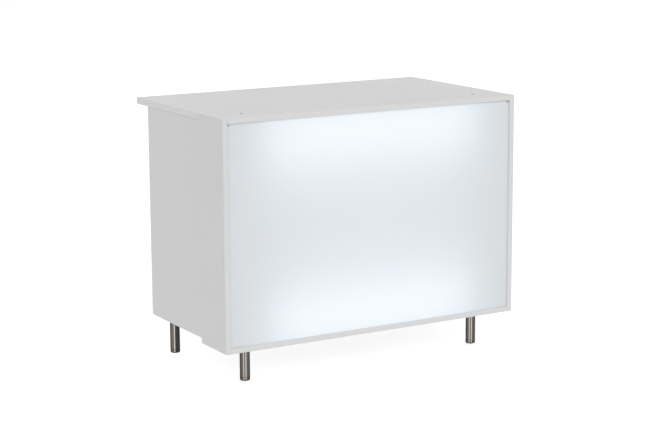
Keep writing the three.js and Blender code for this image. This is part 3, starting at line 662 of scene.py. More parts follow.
def ramp(tree, value, first, last, between):
    """Colours along a value from 0 to 1, with stops between the first and the last."""
    node = tree.nodes.new("ShaderNodeValToRGB")
    stops = node.color_ramp.elements
    stops[0].color = (*first, 1)
    stops[1].color = (*last, 1)
    for spot, tint in between.items():
        stops.new(spot).color = (*tint, 1)
    return feed(tree, node, {"Fac": value})["Color"]


def tint_of(name):
    return getattr(bpy.context.scene.counter_colours, name)


def grey(level):
    return (level, level, level)


# Surface patterns, as node groups with their own inputs


def new_group(name, inputs, *outputs):
    """An empty shader node group, its input sockets and its output node."""
    tree = bpy.data.node_groups.new(name, "ShaderNodeTree")
    for label, value in inputs.items():
        kind = "Float" if isinstance(value, float) else "Color"
        socket = tree.interface.new_socket(label, in_out="INPUT", socket_type=f"NodeSocket{kind}")
        socket.default_value = value
    for label in outputs:
        kind = "Color" if label == "Color" else "Float"
        tree.interface.new_socket(label, in_out="OUTPUT", socket_type=f"NodeSocket{kind}")
    return tree, tree.nodes.new("NodeGroupInput").outputs, tree.nodes.new("NodeGroupOutput")


def use_group(tree, make, values):
    node = tree.nodes.new("ShaderNodeGroup")
    node.node_tree = bpy.data.node_groups.get(make.__name__) or make()
    return feed(tree, node, values)


def sheet_surface():
    """Faint clouding, an uneven sheen and a fine pearl in a smooth sheet or moulding."""
    inputs = {
        "Tint": WHITE,
        "Clouding": 0.02,
        "Cloud Scale": CLOUD_SCALE,
        "Pearl Scale": PEARL_SCALE,
        "Smooth": 0.35,
        "Matt": 0.5,
    }
    tree, given, result = new_group("sheet_surface", inputs, "Color", "Roughness", "Height")
    place = own_place(tree)
    cloud = noise(tree, place, given["Cloud Scale"], detail=4.0, Roughness=0.6)
    pearl = noise(tree, place, given["Pearl Scale"], detail=2.0)
    shift = maths(tree, "MULTIPLY", maths(tree, "SUBTRACT", cloud, 0.5), given["Clouding"])
    level = maths(tree, "MULTIPLY_ADD", 2.0, shift, 1.0)
    fine = maths(tree, "MULTIPLY", pearl, PEARL_SHARE)
    sheen = maths(tree, "MULTIPLY_ADD", cloud, 1 - PEARL_SHARE, fine)
    values = {
        "Color": shaded(tree, given["Tint"], level),
        "Roughness": ranged(tree, sheen, given["Smooth"], given["Matt"], *NOISE_SPAN),
        "Height": pearl,
    }
    feed(tree, result, values)
    return tree


def scuffs():
    """Thin, sparse rubbing marks that run mostly one way."""
    tree, given, result = new_group("scuffs", {"Scale": 40.0, "Amount": 0.3}, "Mask")
    place = own_place(tree)
    drawn = {"Vector": place, "Rotation": SCUFF_TURN, "Scale": SCUFF_DRAW}
    drawn_place = add(tree, "Mapping", drawn)["Vector"]
    lines = noise(tree, drawn_place, given["Scale"], detail=3.0, Distortion=0.4)
    thin = ranged(tree, lines, 0.0, 1.0, *SCUFF_LINES)
    patches = noise(tree, place, SCUFF_PATCH_SCALE, detail=1.0)
    where = ranged(tree, patches, 0.0, 1.0, *SCUFF_PATCHES)
    mask = maths(tree, "MULTIPLY", maths(tree, "MULTIPLY", thin, where), given["Amount"])
    feed(tree, result, {"Mask": mask})
    return tree


def plated_surface():
    """Patches of plating, the brighter ones rougher, and a fine grit."""
    inputs = {"Tint": WHITE, "Spangle Scale": 450.0, "Smooth": 0.3, "Matt": 0.45}
    tree, given, result = new_group("plated_surface", inputs, "Color", "Roughness", "Height")
    place = own_place(tree)
    patches = add(tree, "TexVoronoi", {"Vector": place, "Scale": given["Spangle Scale"]})["Color"]
    patch = add(tree, "SeparateColor", {"Color": patches})["Red"]
    values = {
        "Color": shaded(tree, given["Tint"], ranged(tree, patch, *SPANGLE_LEVELS)),
        "Roughness": ranged(tree, patch, given["Smooth"], given["Matt"]),
        "Height": noise(tree, place, GRIT_SCALE, detail=2.0),
    }
    feed(tree, result, values)
    return tree


def brushed_lines():
    """Fine lines along a turned piece, and the place round it of the broad painted reflections,
    from its grain attribute.
    """
    inputs = {"Line Scale": 55.0, "Streaks Round": 1.0, "Unevenness": 0.012}
    tree, given, result = new_group("brushed_lines", inputs, "Lines", "Streaks")
    grain = add(tree, "Attribute", {}, attribute_name="grain")["Vector"]
    drawn = add(tree, "Mapping", {"Vector": grain, "Scale": BRUSH_DRAW})["Vector"]
    wander = maths(tree, "SUBTRACT", noise(tree, drawn, WANDER_SCALE, detail=2.0), 0.5)
    x, y, _ = add(tree, "SeparateXYZ", {"Vector": grain})
    turns = maths(tree, "DIVIDE", maths(tree, "ARCTAN2", y, x), math.tau)
    drift = maths(tree, "MULTIPLY", wander, given["Unevenness"])
    round_it = maths(tree, "MULTIPLY_ADD", turns, given["Streaks Round"], drift)
    values = {
        "Lines": noise(tree, drawn, given["Line Scale"], detail=3.0),
        "Streaks": maths(tree, "FLOORED_MODULO", round_it, 1.0),
    }
    feed(tree, result, values)
    return tree


def tube_glow():
    """Painted light of a lamp tube on the panel before it, as a share of that of an endless tube.
    """
    inputs = {
        "Across": 0.0,
        "Up": 0.0,
        "Level": 0.0,
        "Half Length": 0.45,
        "Depth": 0.2,
        "End Softness": 1.0,
    }
    tree, given, result = new_group("tube_glow", inputs, "Light")
    rise = maths(tree, "SUBTRACT", given["Up"], given["Level"])
    depth_squared = maths(tree, "MULTIPLY", given["Depth"], given["Depth"])
    near_squared = maths(tree, "MULTIPLY_ADD", rise, rise, depth_squared)
    nearest = maths(tree, "MULTIPLY", maths(tree, "SQRT", near_squared), given["End Softness"])
    nearest_squared = maths(tree, "MULTIPLY", nearest, nearest)
    ends = []
    for operation in ("ADD", "SUBTRACT"):
        reach = maths(tree, operation, given["Half Length"], given["Across"])
        far_squared = maths(tree, "MULTIPLY_ADD", reach, reach, nearest_squared)
        flat = maths(tree, "DIVIDE", maths(tree, "MULTIPLY", nearest, reach), far_squared)
        angle = maths(tree, "ARCTANGENT", maths(tree, "DIVIDE", reach, nearest))
        ends.append(maths(tree, "ADD", flat, angle))
    whole = maths(tree, "DIVIDE", maths(tree, "ADD", *ends), math.pi)
    fall = maths(tree, "DIVIDE", depth_squared, near_squared)
    feed(tree, result, {"Light": maths(tree, "MULTIPLY", whole, fall)})
    return tree


# Materials: each look gives the inputs of the material's shader


def sheet(
    tree,
    tint,
    clouding,
    matt,
    spread=SHEEN_SPREAD,
    cloud=CLOUD_SCALE,
    pearl=PEARL_SCALE,
    bump=0.0,
    scuff=0.0,
):
    """A smooth sheet or moulding: laminate, band, enamel, plastic, acrylic, glass or floor."""
    values = {
        "Tint": (*tint_of(tint), 1),
        "Clouding": clouding,
        "Cloud Scale": cloud,
        "Pearl Scale": pearl,
        "Smooth": matt - spread,
        "Matt": matt + spread,
    }
    surface = use_group(tree, sheet_surface, values)
    inputs = {"Base Color": surface["Color"], "Roughness": surface["Roughness"]}
    if scuff:
        marks = use_group(tree, scuffs, {"Amount": scuff})["Mask"]
        inputs["Roughness"] = maths(tree, "ADD", surface["Roughness"], marks)
    if bump:
        inputs["Normal"] = relief(tree, surface["Height"], strength=bump, depth=SHEET_RELIEF)
    return inputs


def lit_acrylic(tree):
    """Satin opal sheet with a painted glow: an emission worked out from the places of the two lamps
    behind it.
    """
    satin = sheet(
        tree, "opal", clouding=0.008, matt=0.36, spread=0.06, cloud=2.0, pearl=1500.0, bump=0.06
    )
    across, _, up = add(tree, "SeparateXYZ", {"Vector": own_place(tree)})
    lights = []
    for lamp in LAMPS:
        tube = f"{lamp}_lamp_tube"
        values = {
            "Across": across,
            "Up": up,
            "Level": middle_of(tube).z,
            "Half Length": OPAL_GLOW_REACH[lamp] * half_of(tube).x,
            "Depth": OPAL_GLOW_DEPTH,
            "End Softness": OPAL_GLOW_SOFTNESS,
        }
        lights.append(use_group(tree, tube_glow, values)["Light"])
    # painted light: the glow of both lamps on the front, brought to the scale of the glow colours
    level = maths(tree, "MULTIPLY", maths(tree, "ADD", *lights), OPAL_GLOW_LEVEL)
    faint, middle, bright = (tint_of(f"glow_{part}") for part in ("faint", "middle", "bright"))
    between = dict(zip(OPAL_GLOW_STOPS, (faint, middle)))
    return {
        **satin,
        "Emission Color": ramp(tree, level, grey(0), bright, between),
        "Emission Strength": 1.0,
    }


def brushed_steel(tree):
    """Stainless steel, brushed along the leg, with painted reflections: bright lines and dark
    flanks in its colour round the leg.
    """
    brushed = use_group(tree, brushed_lines, {})
    darkest = grey(STEEL_DARKEST)
    between = {spot: grey(level) for spot, level in STEEL_PAINTED_REFLECTIONS}
    reflection_ramp = ramp(tree, brushed["Streaks"], darkest, darkest, between)
    reflection_level = add(tree, "SeparateColor", {"Color": reflection_ramp})["Red"]
    fine = ranged(tree, brushed["Lines"], *BRUSH_LEVELS, *NOISE_SPAN)
    return {
        # the painted reflections darken and brighten the steel's colour round the leg
        "Base Color": shaded(tree, tint_of("stainless"), maths(tree, "MULTIPLY", reflection_level, fine)),
        "Roughness": ranged(tree, brushed["Lines"], *BRUSH_ROUGHNESS, *NOISE_SPAN),
        "Normal": relief(tree, brushed["Lines"], strength=0.12, depth=METAL_RELIEF),
        "Metallic": 1.0,
        "Specular Tint": STEEL_SHEEN,
    }


def plated(tree, tint, spangle, matt):
    """Plated metal with a faint spangle."""
    values = {
        "Tint": (*tint_of(tint), 1),
        "Spangle Scale": spangle,
        "Smooth": matt - SPANGLE_SPREAD,
        "Matt": matt + SPANGLE_SPREAD,
    }
    surface = use_group(tree, plated_surface, values)
    return {
        "Base Color": surface["Color"],
        "Roughness": surface["Roughness"],
        "Normal": relief(tree, surface["Height"], strength=0.08, depth=METAL_RELIEF),
        "Metallic": 1.0,
    }


def lit_glass(tree):
    """White coated glass of a lit tube, a little darker at its ends."""
    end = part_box("upper_lamp_tube")[1].x
    away = maths(tree, "ABSOLUTE", add(tree, "SeparateXYZ", {"Vector": own_place(tree)})["X"])
    light = ranged(tree, away, 1.0, TUBE_END_LIGHT, end - TUBE_FADE, end - CAP_LENGTH)
    return {
        **sheet(tree, "glass", clouding=0.01, matt=0.12, spread=0.04),
        "Emission Color": shaded(tree, tint_of("lamp_light"), light),
        "Emission Strength": 1.0,
    }


def seen_directly(tree):
    """1 for rays that show the background: from the camera, off gloss and through glass."""
    path = add(tree, "LightPath", {})
    seen = maths(tree, "MAXIMUM", path["Is Camera Ray"], path["Is Glossy Ray"])
    return maths(tree, "MAXIMUM", seen, path["Is Transmission Ray"])


def white_floor(tree):
    """A pale matt floor that shows white where no shadow falls."""
    return {
        **sheet(tree, "floor", clouding=0.004, matt=0.85, spread=0.05, pearl=300.0),
        "Specular IOR Level": 0.0,
        "Emission Color": WHITE,
        "Emission Strength": maths(tree, "MULTIPLY", seen_directly(tree), FLOOR_LIFT),
    }


LOOKS = {
    "laminate_face": partial(
        sheet, tint="laminate", clouding=0.012, matt=0.42, pearl=800.0, bump=0.12, scuff=0.12
    ),
    "laminate_edge_band": partial(
        sheet, tint="edge_band", clouding=0.01, matt=0.34, pearl=500.0, bump=0.08
    ),
    "batten_enamel": partial(
        sheet, tint="enamel", clouding=0.015, matt=0.28, pearl=350.0, bump=0.1
    ),
    "moulded_white": partial(
        sheet, tint="white_plastic", clouding=0.02, matt=0.45, pearl=1200.0, bump=0.15
    ),
    "moulded_black": partial(
        sheet, tint="black_plastic", clouding=0.25, matt=0.42, pearl=1600.0, bump=0.25
    ),
    "lit_opal": lit_acrylic,
    "brushed_stainless": brushed_steel,
    "zinc_plate": partial(plated, tint="zinc", spangle=450.0, matt=0.36),
    "burnished_steel": partial(plated, tint="burnished", spangle=500.0, matt=0.4),
    "lamp_cap": partial(plated, tint="cap", spangle=300.0, matt=0.4),
    "blade_nickel": partial(plated, tint="nickel", spangle=600.0, matt=0.25),
    "lamp_glass": lit_glass,
    "pale_floor": white_floor,
}


def material(name):
    """The material of that name, made on its first use."""
    found = bpy.data.materials.get(name)
    if found:
        return found
    made = bpy.data.materials.new(name)
    made.use_nodes = True
    tree = made.node_tree
    feed(tree, tree.nodes["Principled BSDF"], LOOKS[name](tree))
    return made


# Boards


def edge_banded_board(node, *banded, along=None):
    """A board on its node's box, with round edges and a band on each named side, such as -y.

    A board that butts between others has round edges along its length alone.
    """
    sizes = bpy.context.scene.counter_sizes
    low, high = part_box(node)
    size = high - low
    piece = add_block(low, high)
    round_edges(piece, sizes.edge_round, along=along)
    bands = []
    for side in banded:
        sign, letter = side
        axis = AXES.index(letter)
        way = -1 if sign == "-" else 1
        seam_at = (low if way < 0 else high)[axis] - way * sizes.band
        point = middle_of(node)
        point[axis] = seam_at
        normal = [float(axis == other) for other in range(3)]
        with editing(piece):
            pick_all()
            bpy.ops.mesh.bisect(plane_co=point, plane_no=normal)
            bpy.ops.mesh.bevel(offset=sizes.seam / 2, segments=2)
        shrink = [1 if axis == other else 1 - sizes.seam / size[other] for other in range(3)]
        with editing(piece, "VERT"):
            pick_vertices(piece, **{letter: seam_at})
            bpy.ops.transform.resize(value=shrink, center_override=point)
        bands.append((axis, way, seam_at))
    dress(piece, "laminate_face", "laminate_edge_band")
    for axis, way, seam_at in bands:
        paint(piece, lambda place: way * (place[axis] - seam_at) > 0)
    return piece


def finish_board(piece, node, body=FRAME_BODY):
    finish(piece, f"{node}_board", body=body, node=node)


def opal_groove():
    """A cutting block for the opal front: its box with clearance, and with play before it."""
    low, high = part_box("opal_front")
    return add_block(low - ROOM - Vector((0, OPAL_PLAY, 0)), high + ROOM)


def back_rebate():
    low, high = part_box("light_box_back")
    return add_block(low - ROOM, high + ROOM + Vector((0, CUT_MARGIN, 0)))


def rod_hole(side, level):
    """The hole of a tie rod in the light box's top or bottom, countersunk in the top."""
    node = f"tie_rod_{side}"
    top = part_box(node)[1].z
    low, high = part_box(f"light_box_{level}")
    shank = ROD_RADIUS + SEAT_GAP
    profile = [(shank, low.z - CUT_MARGIN)]
    if level == "top":
        head = ROD_HEAD_RADIUS + SEAT_GAP
        cone = ROD_HEAD_RADIUS - ROD_RADIUS
        profile += [(shank, top - cone), (head, top), (head, top + CUT_MARGIN)]
    else:
        profile.append((shank, high.z + CUT_MARGIN))
    return turned(profile, axis_of(node))


class COUNTER_OT_light_box(bpy.types.Operator):
    """Make the light box's boards, grooved for the opal front and rebated for the back panel"""

    bl_idname = "counter.light_box"
    bl_label = "Light box boards"

    def execute(self, context):
        for side in SIDES:
            node = f"light_box_{side}_side"
            board = edge_banded_board(node, "-y", "+z", "-z")
            cut(board, opal_groove(), back_rebate())
            finish_board(board, node)
        for level in ("top", "bottom"):
            node = f"light_box_{level}"
            board = edge_banded_board(node, "-y", along="x")
            cut(board, opal_groove(), back_rebate(), *(rod_hole(side, level) for side in SIDES))
            finish_board(board, node)
        back = edge_banded_board("light_box_back")
        low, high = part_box("power_inlet")
        lip = Vector((INLET_LIP - SEAT_GAP, 0, INLET_LIP - SEAT_GAP))
        cut(back, add_block(low + lip, high - lip))
        finish_board(back, "light_box_back")
        return {"FINISHED"}


class COUNTER_OT_opal_front(bpy.types.Operator):
    """Make the opal acrylic sheet of the front and its two screws"""

    bl_idname = "counter.opal_front"
    bl_label = "Opal front"

    def execute(self, context):
        panel = add_block(*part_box("opal_front"))
        round_edges(panel, context.scene.counter_sizes.opal_round)
        finish(panel, "opal_sheet", "lit_opal", node="opal_front")
        spots = {
            "left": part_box("light_box_left_side")[1].x + OPAL_SCREW_IN,
            "right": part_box("light_box_right_side")[0].x - OPAL_SCREW_IN,
        }
        face_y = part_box("opal_front")[0].y
        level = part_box("light_box_top")[0].z - OPAL_SCREW_IN
        outwards = spin(math.pi / 2, "X")
        places = {side: at((x, face_y, level)) @ outwards for side, x in spots.items()}
        for side, screw in copies(screw_head(), places):
            finish(screw, f"opal_screw_{side}", "zinc_plate")
        return {"FINISHED"}


def pin_holes(pin, face_x, way):
    """Two rows of blind holes, in a wall face at x, that go in along the given way."""
    first, last = (middle_of(f"{pin}_{row}") for row in ROWS)
    start = first.z - PIN_HOLE_PITCH * (PIN_HOLES_IN_ROW - 1) / 2
    mouth = PIN_HOLE_RADIUS + PIN_CHAMFER
    profile = [
        (mouth, -way * CUT_MARGIN),
        (mouth, 0),
        (PIN_HOLE_RADIUS, way * PIN_CHAMFER),
        (PIN_HOLE_RADIUS, way * PIN_HOLE_DEPTH),
    ]
    tool = turned(profile, (face_x, first.y, start), "x", sides=SMALL_SIDES)
    repeated(tool, PIN_HOLES_IN_ROW, (0, 0, PIN_HOLE_PITCH))
    repeated(tool, len(ROWS), (0, last.y - first.y, 0))
    return tool


class COUNTER_OT_cabinet(bpy.types.Operator):
    """Make the cabinet's sides, divider and bottom, with the rows of holes for the shelf pins"""

    bl_idname = "counter.cabinet"
    bl_label = "Cabinet boards"

    def execute(self, context):
        for side, way in SIDES.items():
            node = f"cabinet_{side}_side"
            low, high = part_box(node)
            inner = low.x if way > 0 else high.x
            board = edge_banded_board(node, "+y", "-z")
            cut(board, pin_holes(f"{side}_shelf_pin_outer", inner, way))
            finish_board(board, node)
        low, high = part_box("cabinet_divider")
        divider = edge_banded_board("cabinet_divider", "+y", along="z")
        left_holes = pin_holes("left_shelf_pin_inner", low.x, 1)
        right_holes = pin_holes("right_shelf_pin_inner", high.x, -1)
        cut(divider, left_holes, right_holes)
        finish_board(divider, "cabinet_divider")
        bottom = edge_banded_board("cabinet_bottom", "+y", along="x")
        finish_board(bottom, "cabinet_bottom")
        return {"FINISHED"}


class COUNTER_OT_worktop(bpy.types.Operator):
    """Make the worktop, banded on the staff side and at both ends"""

    bl_idname = "counter.worktop"
    bl_label = "Worktop"

    def execute(self, context):
        finish_board(edge_banded_board("worktop", "+y", "-x", "+x"), "worktop")
        return {"FINISHED"}


class COUNTER_OT_shelves(bpy.types.Operator):
    """Make the two loose shelves"""

    bl_idname = "counter.shelves"
    bl_label = "Shelves"

    def execute(self, context):
        for side in SIDES:
            node = f"{side}_shelf"
            finish_board(edge_banded_board(node, "+y", "-y"), node, node)
        return {"FINISHED"}


# Fittings


def shelf_pin():
    """A pin along +X from the bottom of its hole, with a flat on top of its rest."""
    end = 2 * half_of("left_shelf_pin_outer_front").x
    shank = PIN_HOLE_DEPTH
    collar = shank + PIN_COLLAR
    chamfer = PIN_CHAMFER
    pin = turned(
        [
            (PIN_SHANK_RADIUS - chamfer, 0),
            (PIN_SHANK_RADIUS, chamfer),
            (PIN_SHANK_RADIUS, shank),
            (PIN_COLLAR_RADIUS - chamfer, shank),
            (PIN_COLLAR_RADIUS, shank + chamfer),
            (PIN_COLLAR_RADIUS, collar - chamfer),
            (PIN_COLLAR_RADIUS - chamfer, collar),
            (PIN_REST_RADIUS, collar),
            (PIN_REST_RADIUS, end - 2 * chamfer),
            (PIN_REST_RADIUS - chamfer / 2, end - chamfer / 2),
            (PIN_REST_RADIUS - 2 * chamfer, end),
        ],
        axis="x",
        sides=SMALL_SIDES,
    )
    reach = PIN_REST_RADIUS + CUT_MARGIN
    top = PIN_REST_RADIUS - PIN_FLAT
    cut(pin, add_block((collar, -reach, top), (end + CUT_MARGIN, reach, reach)))
    return pin


class COUNTER_OT_shelf_pins(bpy.types.Operator):
    """Make the pins that carry the shelves"""

    bl_idname = "counter.shelf_pins"
    bl_label = "Shelf pins"

    def execute(self, context):
        places = {}
        for side, way in SIDES.items():
            for wall, points in (("outer", -way), ("inner", way)):
                for row in ROWS:
                    node = f"{side}_shelf_pin_{wall}_{row}"
                    low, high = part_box(node)
                    spot = axis_of(node, low.z + PIN_COLLAR_RADIUS)
                    spot.x = low.x if points > 0 else high.x
                    places[node] = at(spot) @ spin(0 if points > 0 else math.pi, "Z")
        for node, pin in copies(shelf_pin(), places):
            finish(pin, f"{node}_turned", "zinc_plate", node=node)
        return {"FINISHED"}


def screw_head():
    """A domed screw head on the XY plane, with a cross slot."""
    dome = SCREW_HEAD - SCREW_RIM
    rounding = quarter_round(dome, (SCREW_RADIUS - dome, SCREW_RIM), 0)
    head = turned([(SCREW_RADIUS, -SCREW_SINK), *rounding], sides=SMALL_SIDES)
    for across, along in ((SCREW_SLOT, SCREW_SLOT_LENGTH), (SCREW_SLOT_LENGTH, SCREW_SLOT)):
        low = (-across / 2, -along / 2, SCREW_HEAD - SCREW_SLOT_DEPTH)
        cut(head, add_block(low, (across / 2, along / 2, SCREW_HEAD + CUT_MARGIN)))
    return head


def angle_bracket():
    """A bent bracket with its corner at the origin, leaves along +X and +Z, and two screws."""
    half = BRACKET_WIDTH / 2
    thick = BRACKET_SHEET
    bracket = add_block((0, -half, 0), (BRACKET_REACH, half, thick))
    with editing(bracket, "FACE"):
        pick_all()
        bpy.ops.mesh.bisect(plane_co=(thick, 0, 0), plane_no=(1, 0, 0))
        pick_none()
        pick_faces(bracket, lambda place, normal: normal.z > FACING and place.x < thick)
        rise = {"value": (0, 0, BRACKET_REACH - thick)}
        bpy.ops.mesh.extrude_region_move(TRANSFORM_OT_translate=rise)
        pick_all()
        bpy.ops.mesh.dissolve_limited(angle_limit=FLAT_ANGLE)
    round_edges(bracket, BRACKET_BEND, segments=6, x=0, z=0)
    round_edges(bracket, BRACKET_BEND - thick, segments=6, x=thick, z=thick)
    round_edges(bracket, BRACKET_CORNER, segments=5, along="z", x=BRACKET_REACH)
    round_edges(bracket, BRACKET_CORNER, segments=5, along="x", z=BRACKET_REACH)
    head = screw_head()
    lying = at((BRACKET_HOLE_REACH, 0, thick))
    standing = at((thick, 0, BRACKET_HOLE_REACH)) @ spin(math.pi / 2, "Y")
    return joined(bracket, copy_of(head, standing), placed(head, lying))


def bracket_place(node, along, up):
    """The place of a bracket whose leaves run along two directions from its corner."""
    low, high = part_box(node)
    corner = middle_of(node)
    for way in (along, up):
        for axis in range(3):
            if way[axis]:
                corner[axis] = low[axis] if way[axis] > 0 else high[axis]
    return at(corner) @ Matrix((along, up.cross(along), up)).transposed().to_4x4()


class COUNTER_OT_brackets(bpy.types.Operator):
    """Make the angle brackets in the cabinet and in the light box"""

    bl_idname = "counter.brackets"
    bl_label = "Angle brackets"

    def execute(self, context):
        down, up, back = Vector((0, 0, -1)), Vector((0, 0, 1)), Vector((0, 1, 0))
        places = {}
        for side, way in SIDES.items():
            leaves = {f"worktop_bracket_{side}_{row}": down for row in ROWS}
            for level in ("lower", "upper"):
                leaves[f"module_bracket_{side}_{level}"] = back
                leaves[f"corner_bracket_{side}_{level}"] = up if level == "lower" else down
            for node, leaf in leaves.items():
                places[node] = bracket_place(node, Vector((-way, 0, 0)), leaf)
        for node, bracket in copies(angle_bracket(), places):
            finish(bracket, f"{node}_bent", "zinc_plate", node=node)
        return {"FINISHED"}


class COUNTER_OT_tie_rods(bpy.types.Operator):
    """Make the tie rods whose heads lie flush in the light box's top"""

    bl_idname = "counter.tie_rods"
    bl_label = "Tie rods"

    def execute(self, context):
        low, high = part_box("tie_rod_left")
        chamfer = ROD_HEAD_CHAMFER
        pattern = turned(
            [
                (ROD_RADIUS - chamfer, low.z),
                (ROD_RADIUS, low.z + chamfer),
                (ROD_RADIUS, high.z - (ROD_HEAD_RADIUS - ROD_RADIUS)),
                (ROD_HEAD_RADIUS, high.z - chamfer),
                (ROD_HEAD_RADIUS - chamfer, high.z),
            ]
        )
        socket = ROD_SOCKET_WIDTH / 2 / math.cos(math.pi / HEX_SIDES)
        bottom = high.z - ROD_SOCKET_DEPTH
        cut(pattern, rod(socket, bottom, high.z + CUT_MARGIN, sides=HEX_SIDES))
        places = {node: at(axis_of(node)) for node in (f"tie_rod_{side}" for side in SIDES)}
        for node, tie_rod in copies(pattern, places):
            finish(tie_rod, f"{node}_turned", "burnished_steel", node=node)
        return {"FINISHED"}


# Legs


def leg_flange():
    """A round plate with a spigot below it and three screws, its top on the XY plane."""
    low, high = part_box("front_left_leg_flange")
    rim = half_of("front_left_leg_flange").x
    spigot = half_of("front_left_leg").x - LEG_WALL - SEAT_GAP
    bore = ROD_RADIUS + SEAT_GAP
    bottom = low.z - high.z
    plate = -FLANGE_THICKNESS
    flange = turned(
        [
            (bore, bottom),
            (spigot - LEG_EASE, bottom),
            (spigot, bottom + LEG_EASE),
            (spigot, plate),
            (rim - LEG_EASE, plate),
            (rim, plate + LEG_EASE),
            (rim, 0),
            (bore, 0),
            (bore, bottom),
        ],
        hollow=True,
    )
    screwed_up = at((FLANGE_SCREW_RADIUS, 0, plate)) @ spin(math.pi, "X")
    turns = range(FLANGE_SCREWS)
    places = {turn: spin(math.tau * turn / FLANGE_SCREWS, "Z") @ screwed_up for turn in turns}
    return joined(flange, *dict(copies(screw_head(), places)).values())


def leg_tube(node):
    """A tube with a threaded plug in its lower end, round the Z axis."""
    low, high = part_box(node)
    outer = half_of(node).x
    inner = outer - LEG_WALL
    thread = STEM_RADIUS + SEAT_GAP
    plug = low.z + LEG_PLUG
    return turned(
        [
            (thread, low.z),
            *quarter_round(LEG_EASE, (outer - LEG_EASE, low.z + LEG_EASE), -math.pi / 2, steps=3),
            *quarter_round(LEG_EASE, (outer - LEG_EASE, high.z - LEG_EASE), 0, steps=3),
            (inner, high.z),
            (inner, plug),
            (thread, plug),
            (thread, low.z),
        ],
        hollow=True,
    )


def levelling_foot():
    """A round foot with a pad under it, a neck and a threaded stem."""
    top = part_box("front_left_foot")[1].z
    outer = half_of("front_left_foot").x
    pad = outer - FOOT_PAD_INSET
    neck = outer - FOOT_NECK_INSET
    shoulder = FOOT_HEIGHT + FOOT_NECK
    ease = LEG_EASE
    return turned(
        [
            (pad - ease, 0),
            (pad, ease / 2),
            (pad, FOOT_PAD),
            *quarter_round(FOOT_ROUND, (outer - FOOT_ROUND, FOOT_PAD + FOOT_ROUND), -math.pi / 2),
            (outer, FOOT_RING - FOOT_RING_GROOVE),
            (outer - FOOT_RING_GROOVE, FOOT_RING),
            (outer, FOOT_RING + FOOT_RING_GROOVE),
            *quarter_round(ease, (outer - ease, FOOT_HEIGHT - ease), 0, steps=3),
            (neck, FOOT_HEIGHT),
            (neck, shoulder),
            (STEM_RADIUS, shoulder),
            (STEM_RADIUS, top - ease),
            (STEM_RADIUS - ease, top),
        ]
    )


class COUNTER_OT_legs(bpy.types.Operator):
    """Make the four steel legs and their flanges"""

    bl_idname = "counter.legs"
    bl_label = "Legs"

    def execute(self, context):
        flange = mark_grain(leg_flange())
        tubes = {row: mark_grain(leg_tube(f"{row}_left_leg")) for row in ROWS}
        for leg in LEGS:
            node = f"{leg}_leg"
            place = at(axis_of(node)) @ spin(LEG_TURNS[leg], "Z")
            tube = copy_of(tubes[leg.split("_")[0]], place)
            finish(tube, f"{node}_tube", "brushed_stainless", node=node)
            node = f"{leg}_leg_flange"
            plate = copy_of(flange, at(axis_of(node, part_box(node)[1].z)))
            finish(plate, f"{node}_plate", "brushed_stainless", node=node)
        discard(flange, *tubes.values())
        return {"FINISHED"}


class COUNTER_OT_feet(bpy.types.Operator):
    """Make the four levelling feet"""

    bl_idname = "counter.feet"
    bl_label = "Levelling feet"

    def execute(self, context):
        places = {}
        for leg in LEGS:
            node = f"{leg}_foot"
            places[node] = at(axis_of(node)) @ spin(LEG_TURNS[leg], "Z")
        for node, foot in copies(mark_grain(levelling_foot()), places):
            finishes = ("brushed_stainless", "moulded_black")
            finish(foot, f"{node}_turned", *finishes, body=node, node=node)
            paint(foot, lambda place: place.z < FOOT_RING)
        return {"FINISHED"}


# Lamps


def lamp_place(lamp):
    """The place of a lamp: its origin on the board it stands on, Z away from the board."""
    node = f"{lamp}_lamp_batten"
    low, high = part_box(node)
    if lamp == "lower":
        return at(axis_of(node, low.z))
    return at(axis_of(node, high.z)) @ spin(math.pi, "X")


def lamp_batten():
    """A channel of thin sheet, open towards the board."""
    half = half_of("lower_lamp_batten")
    top = 2 * half.z
    channel = add_block((-half.x, -half.y, 0), (half.x, half.y, top))
    round_edges(channel, 2 * BATTEN_WALL, segments=4, along="x", z=top)
    with editing(channel, "FACE"):
        pick_faces(channel, lambda place, normal: normal.z < -FACING or abs(normal.x) > FACING)
        bpy.ops.mesh.delete(type="FACE")
    modify(channel, "SOLIDIFY", thickness=BATTEN_WALL, offset=-1)
    return channel


def lamp_tube():
    """A glass tube with metal caps and two pins at each end, along X at the batten's origin."""
    rise = middle_of("lower_lamp_tube").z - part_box("lower_lamp_batten")[0].z
    tip = half_of("lower_lamp_tube").x
    end = tip - TUBE_PIN_LENGTH
    cap = end - CAP_LENGTH
    ease = LEG_EASE
    right_end = [
        (TUBE_RADIUS, cap),
        (CAP_RADIUS - ease, cap),
        (CAP_RADIUS, cap + ease),
        (CAP_RADIUS, end - ease),
        (CAP_RADIUS - ease, end),
    ]
    left_end = [(radius, -along) for radius, along in reversed(right_end)]
    tube = turned(left_end + right_end, (0, 0, rise), "x")
    pins = []
    for way in SIDES.values():
        for level in SIDES.values():
            profile = [
                (TUBE_PIN_RADIUS, way * (end - SEAT_GAP)),
                (TUBE_PIN_RADIUS, way * (tip - SEAT_GAP)),
                (TUBE_PIN_RADIUS - SEAT_GAP, way * tip),
            ]
            height = rise + level * TUBE_PIN_SPACING / 2
            pins.append(turned(profile, (0, 0, height), "x", sides=SMALL_SIDES))
    return joined(tube, *pins)


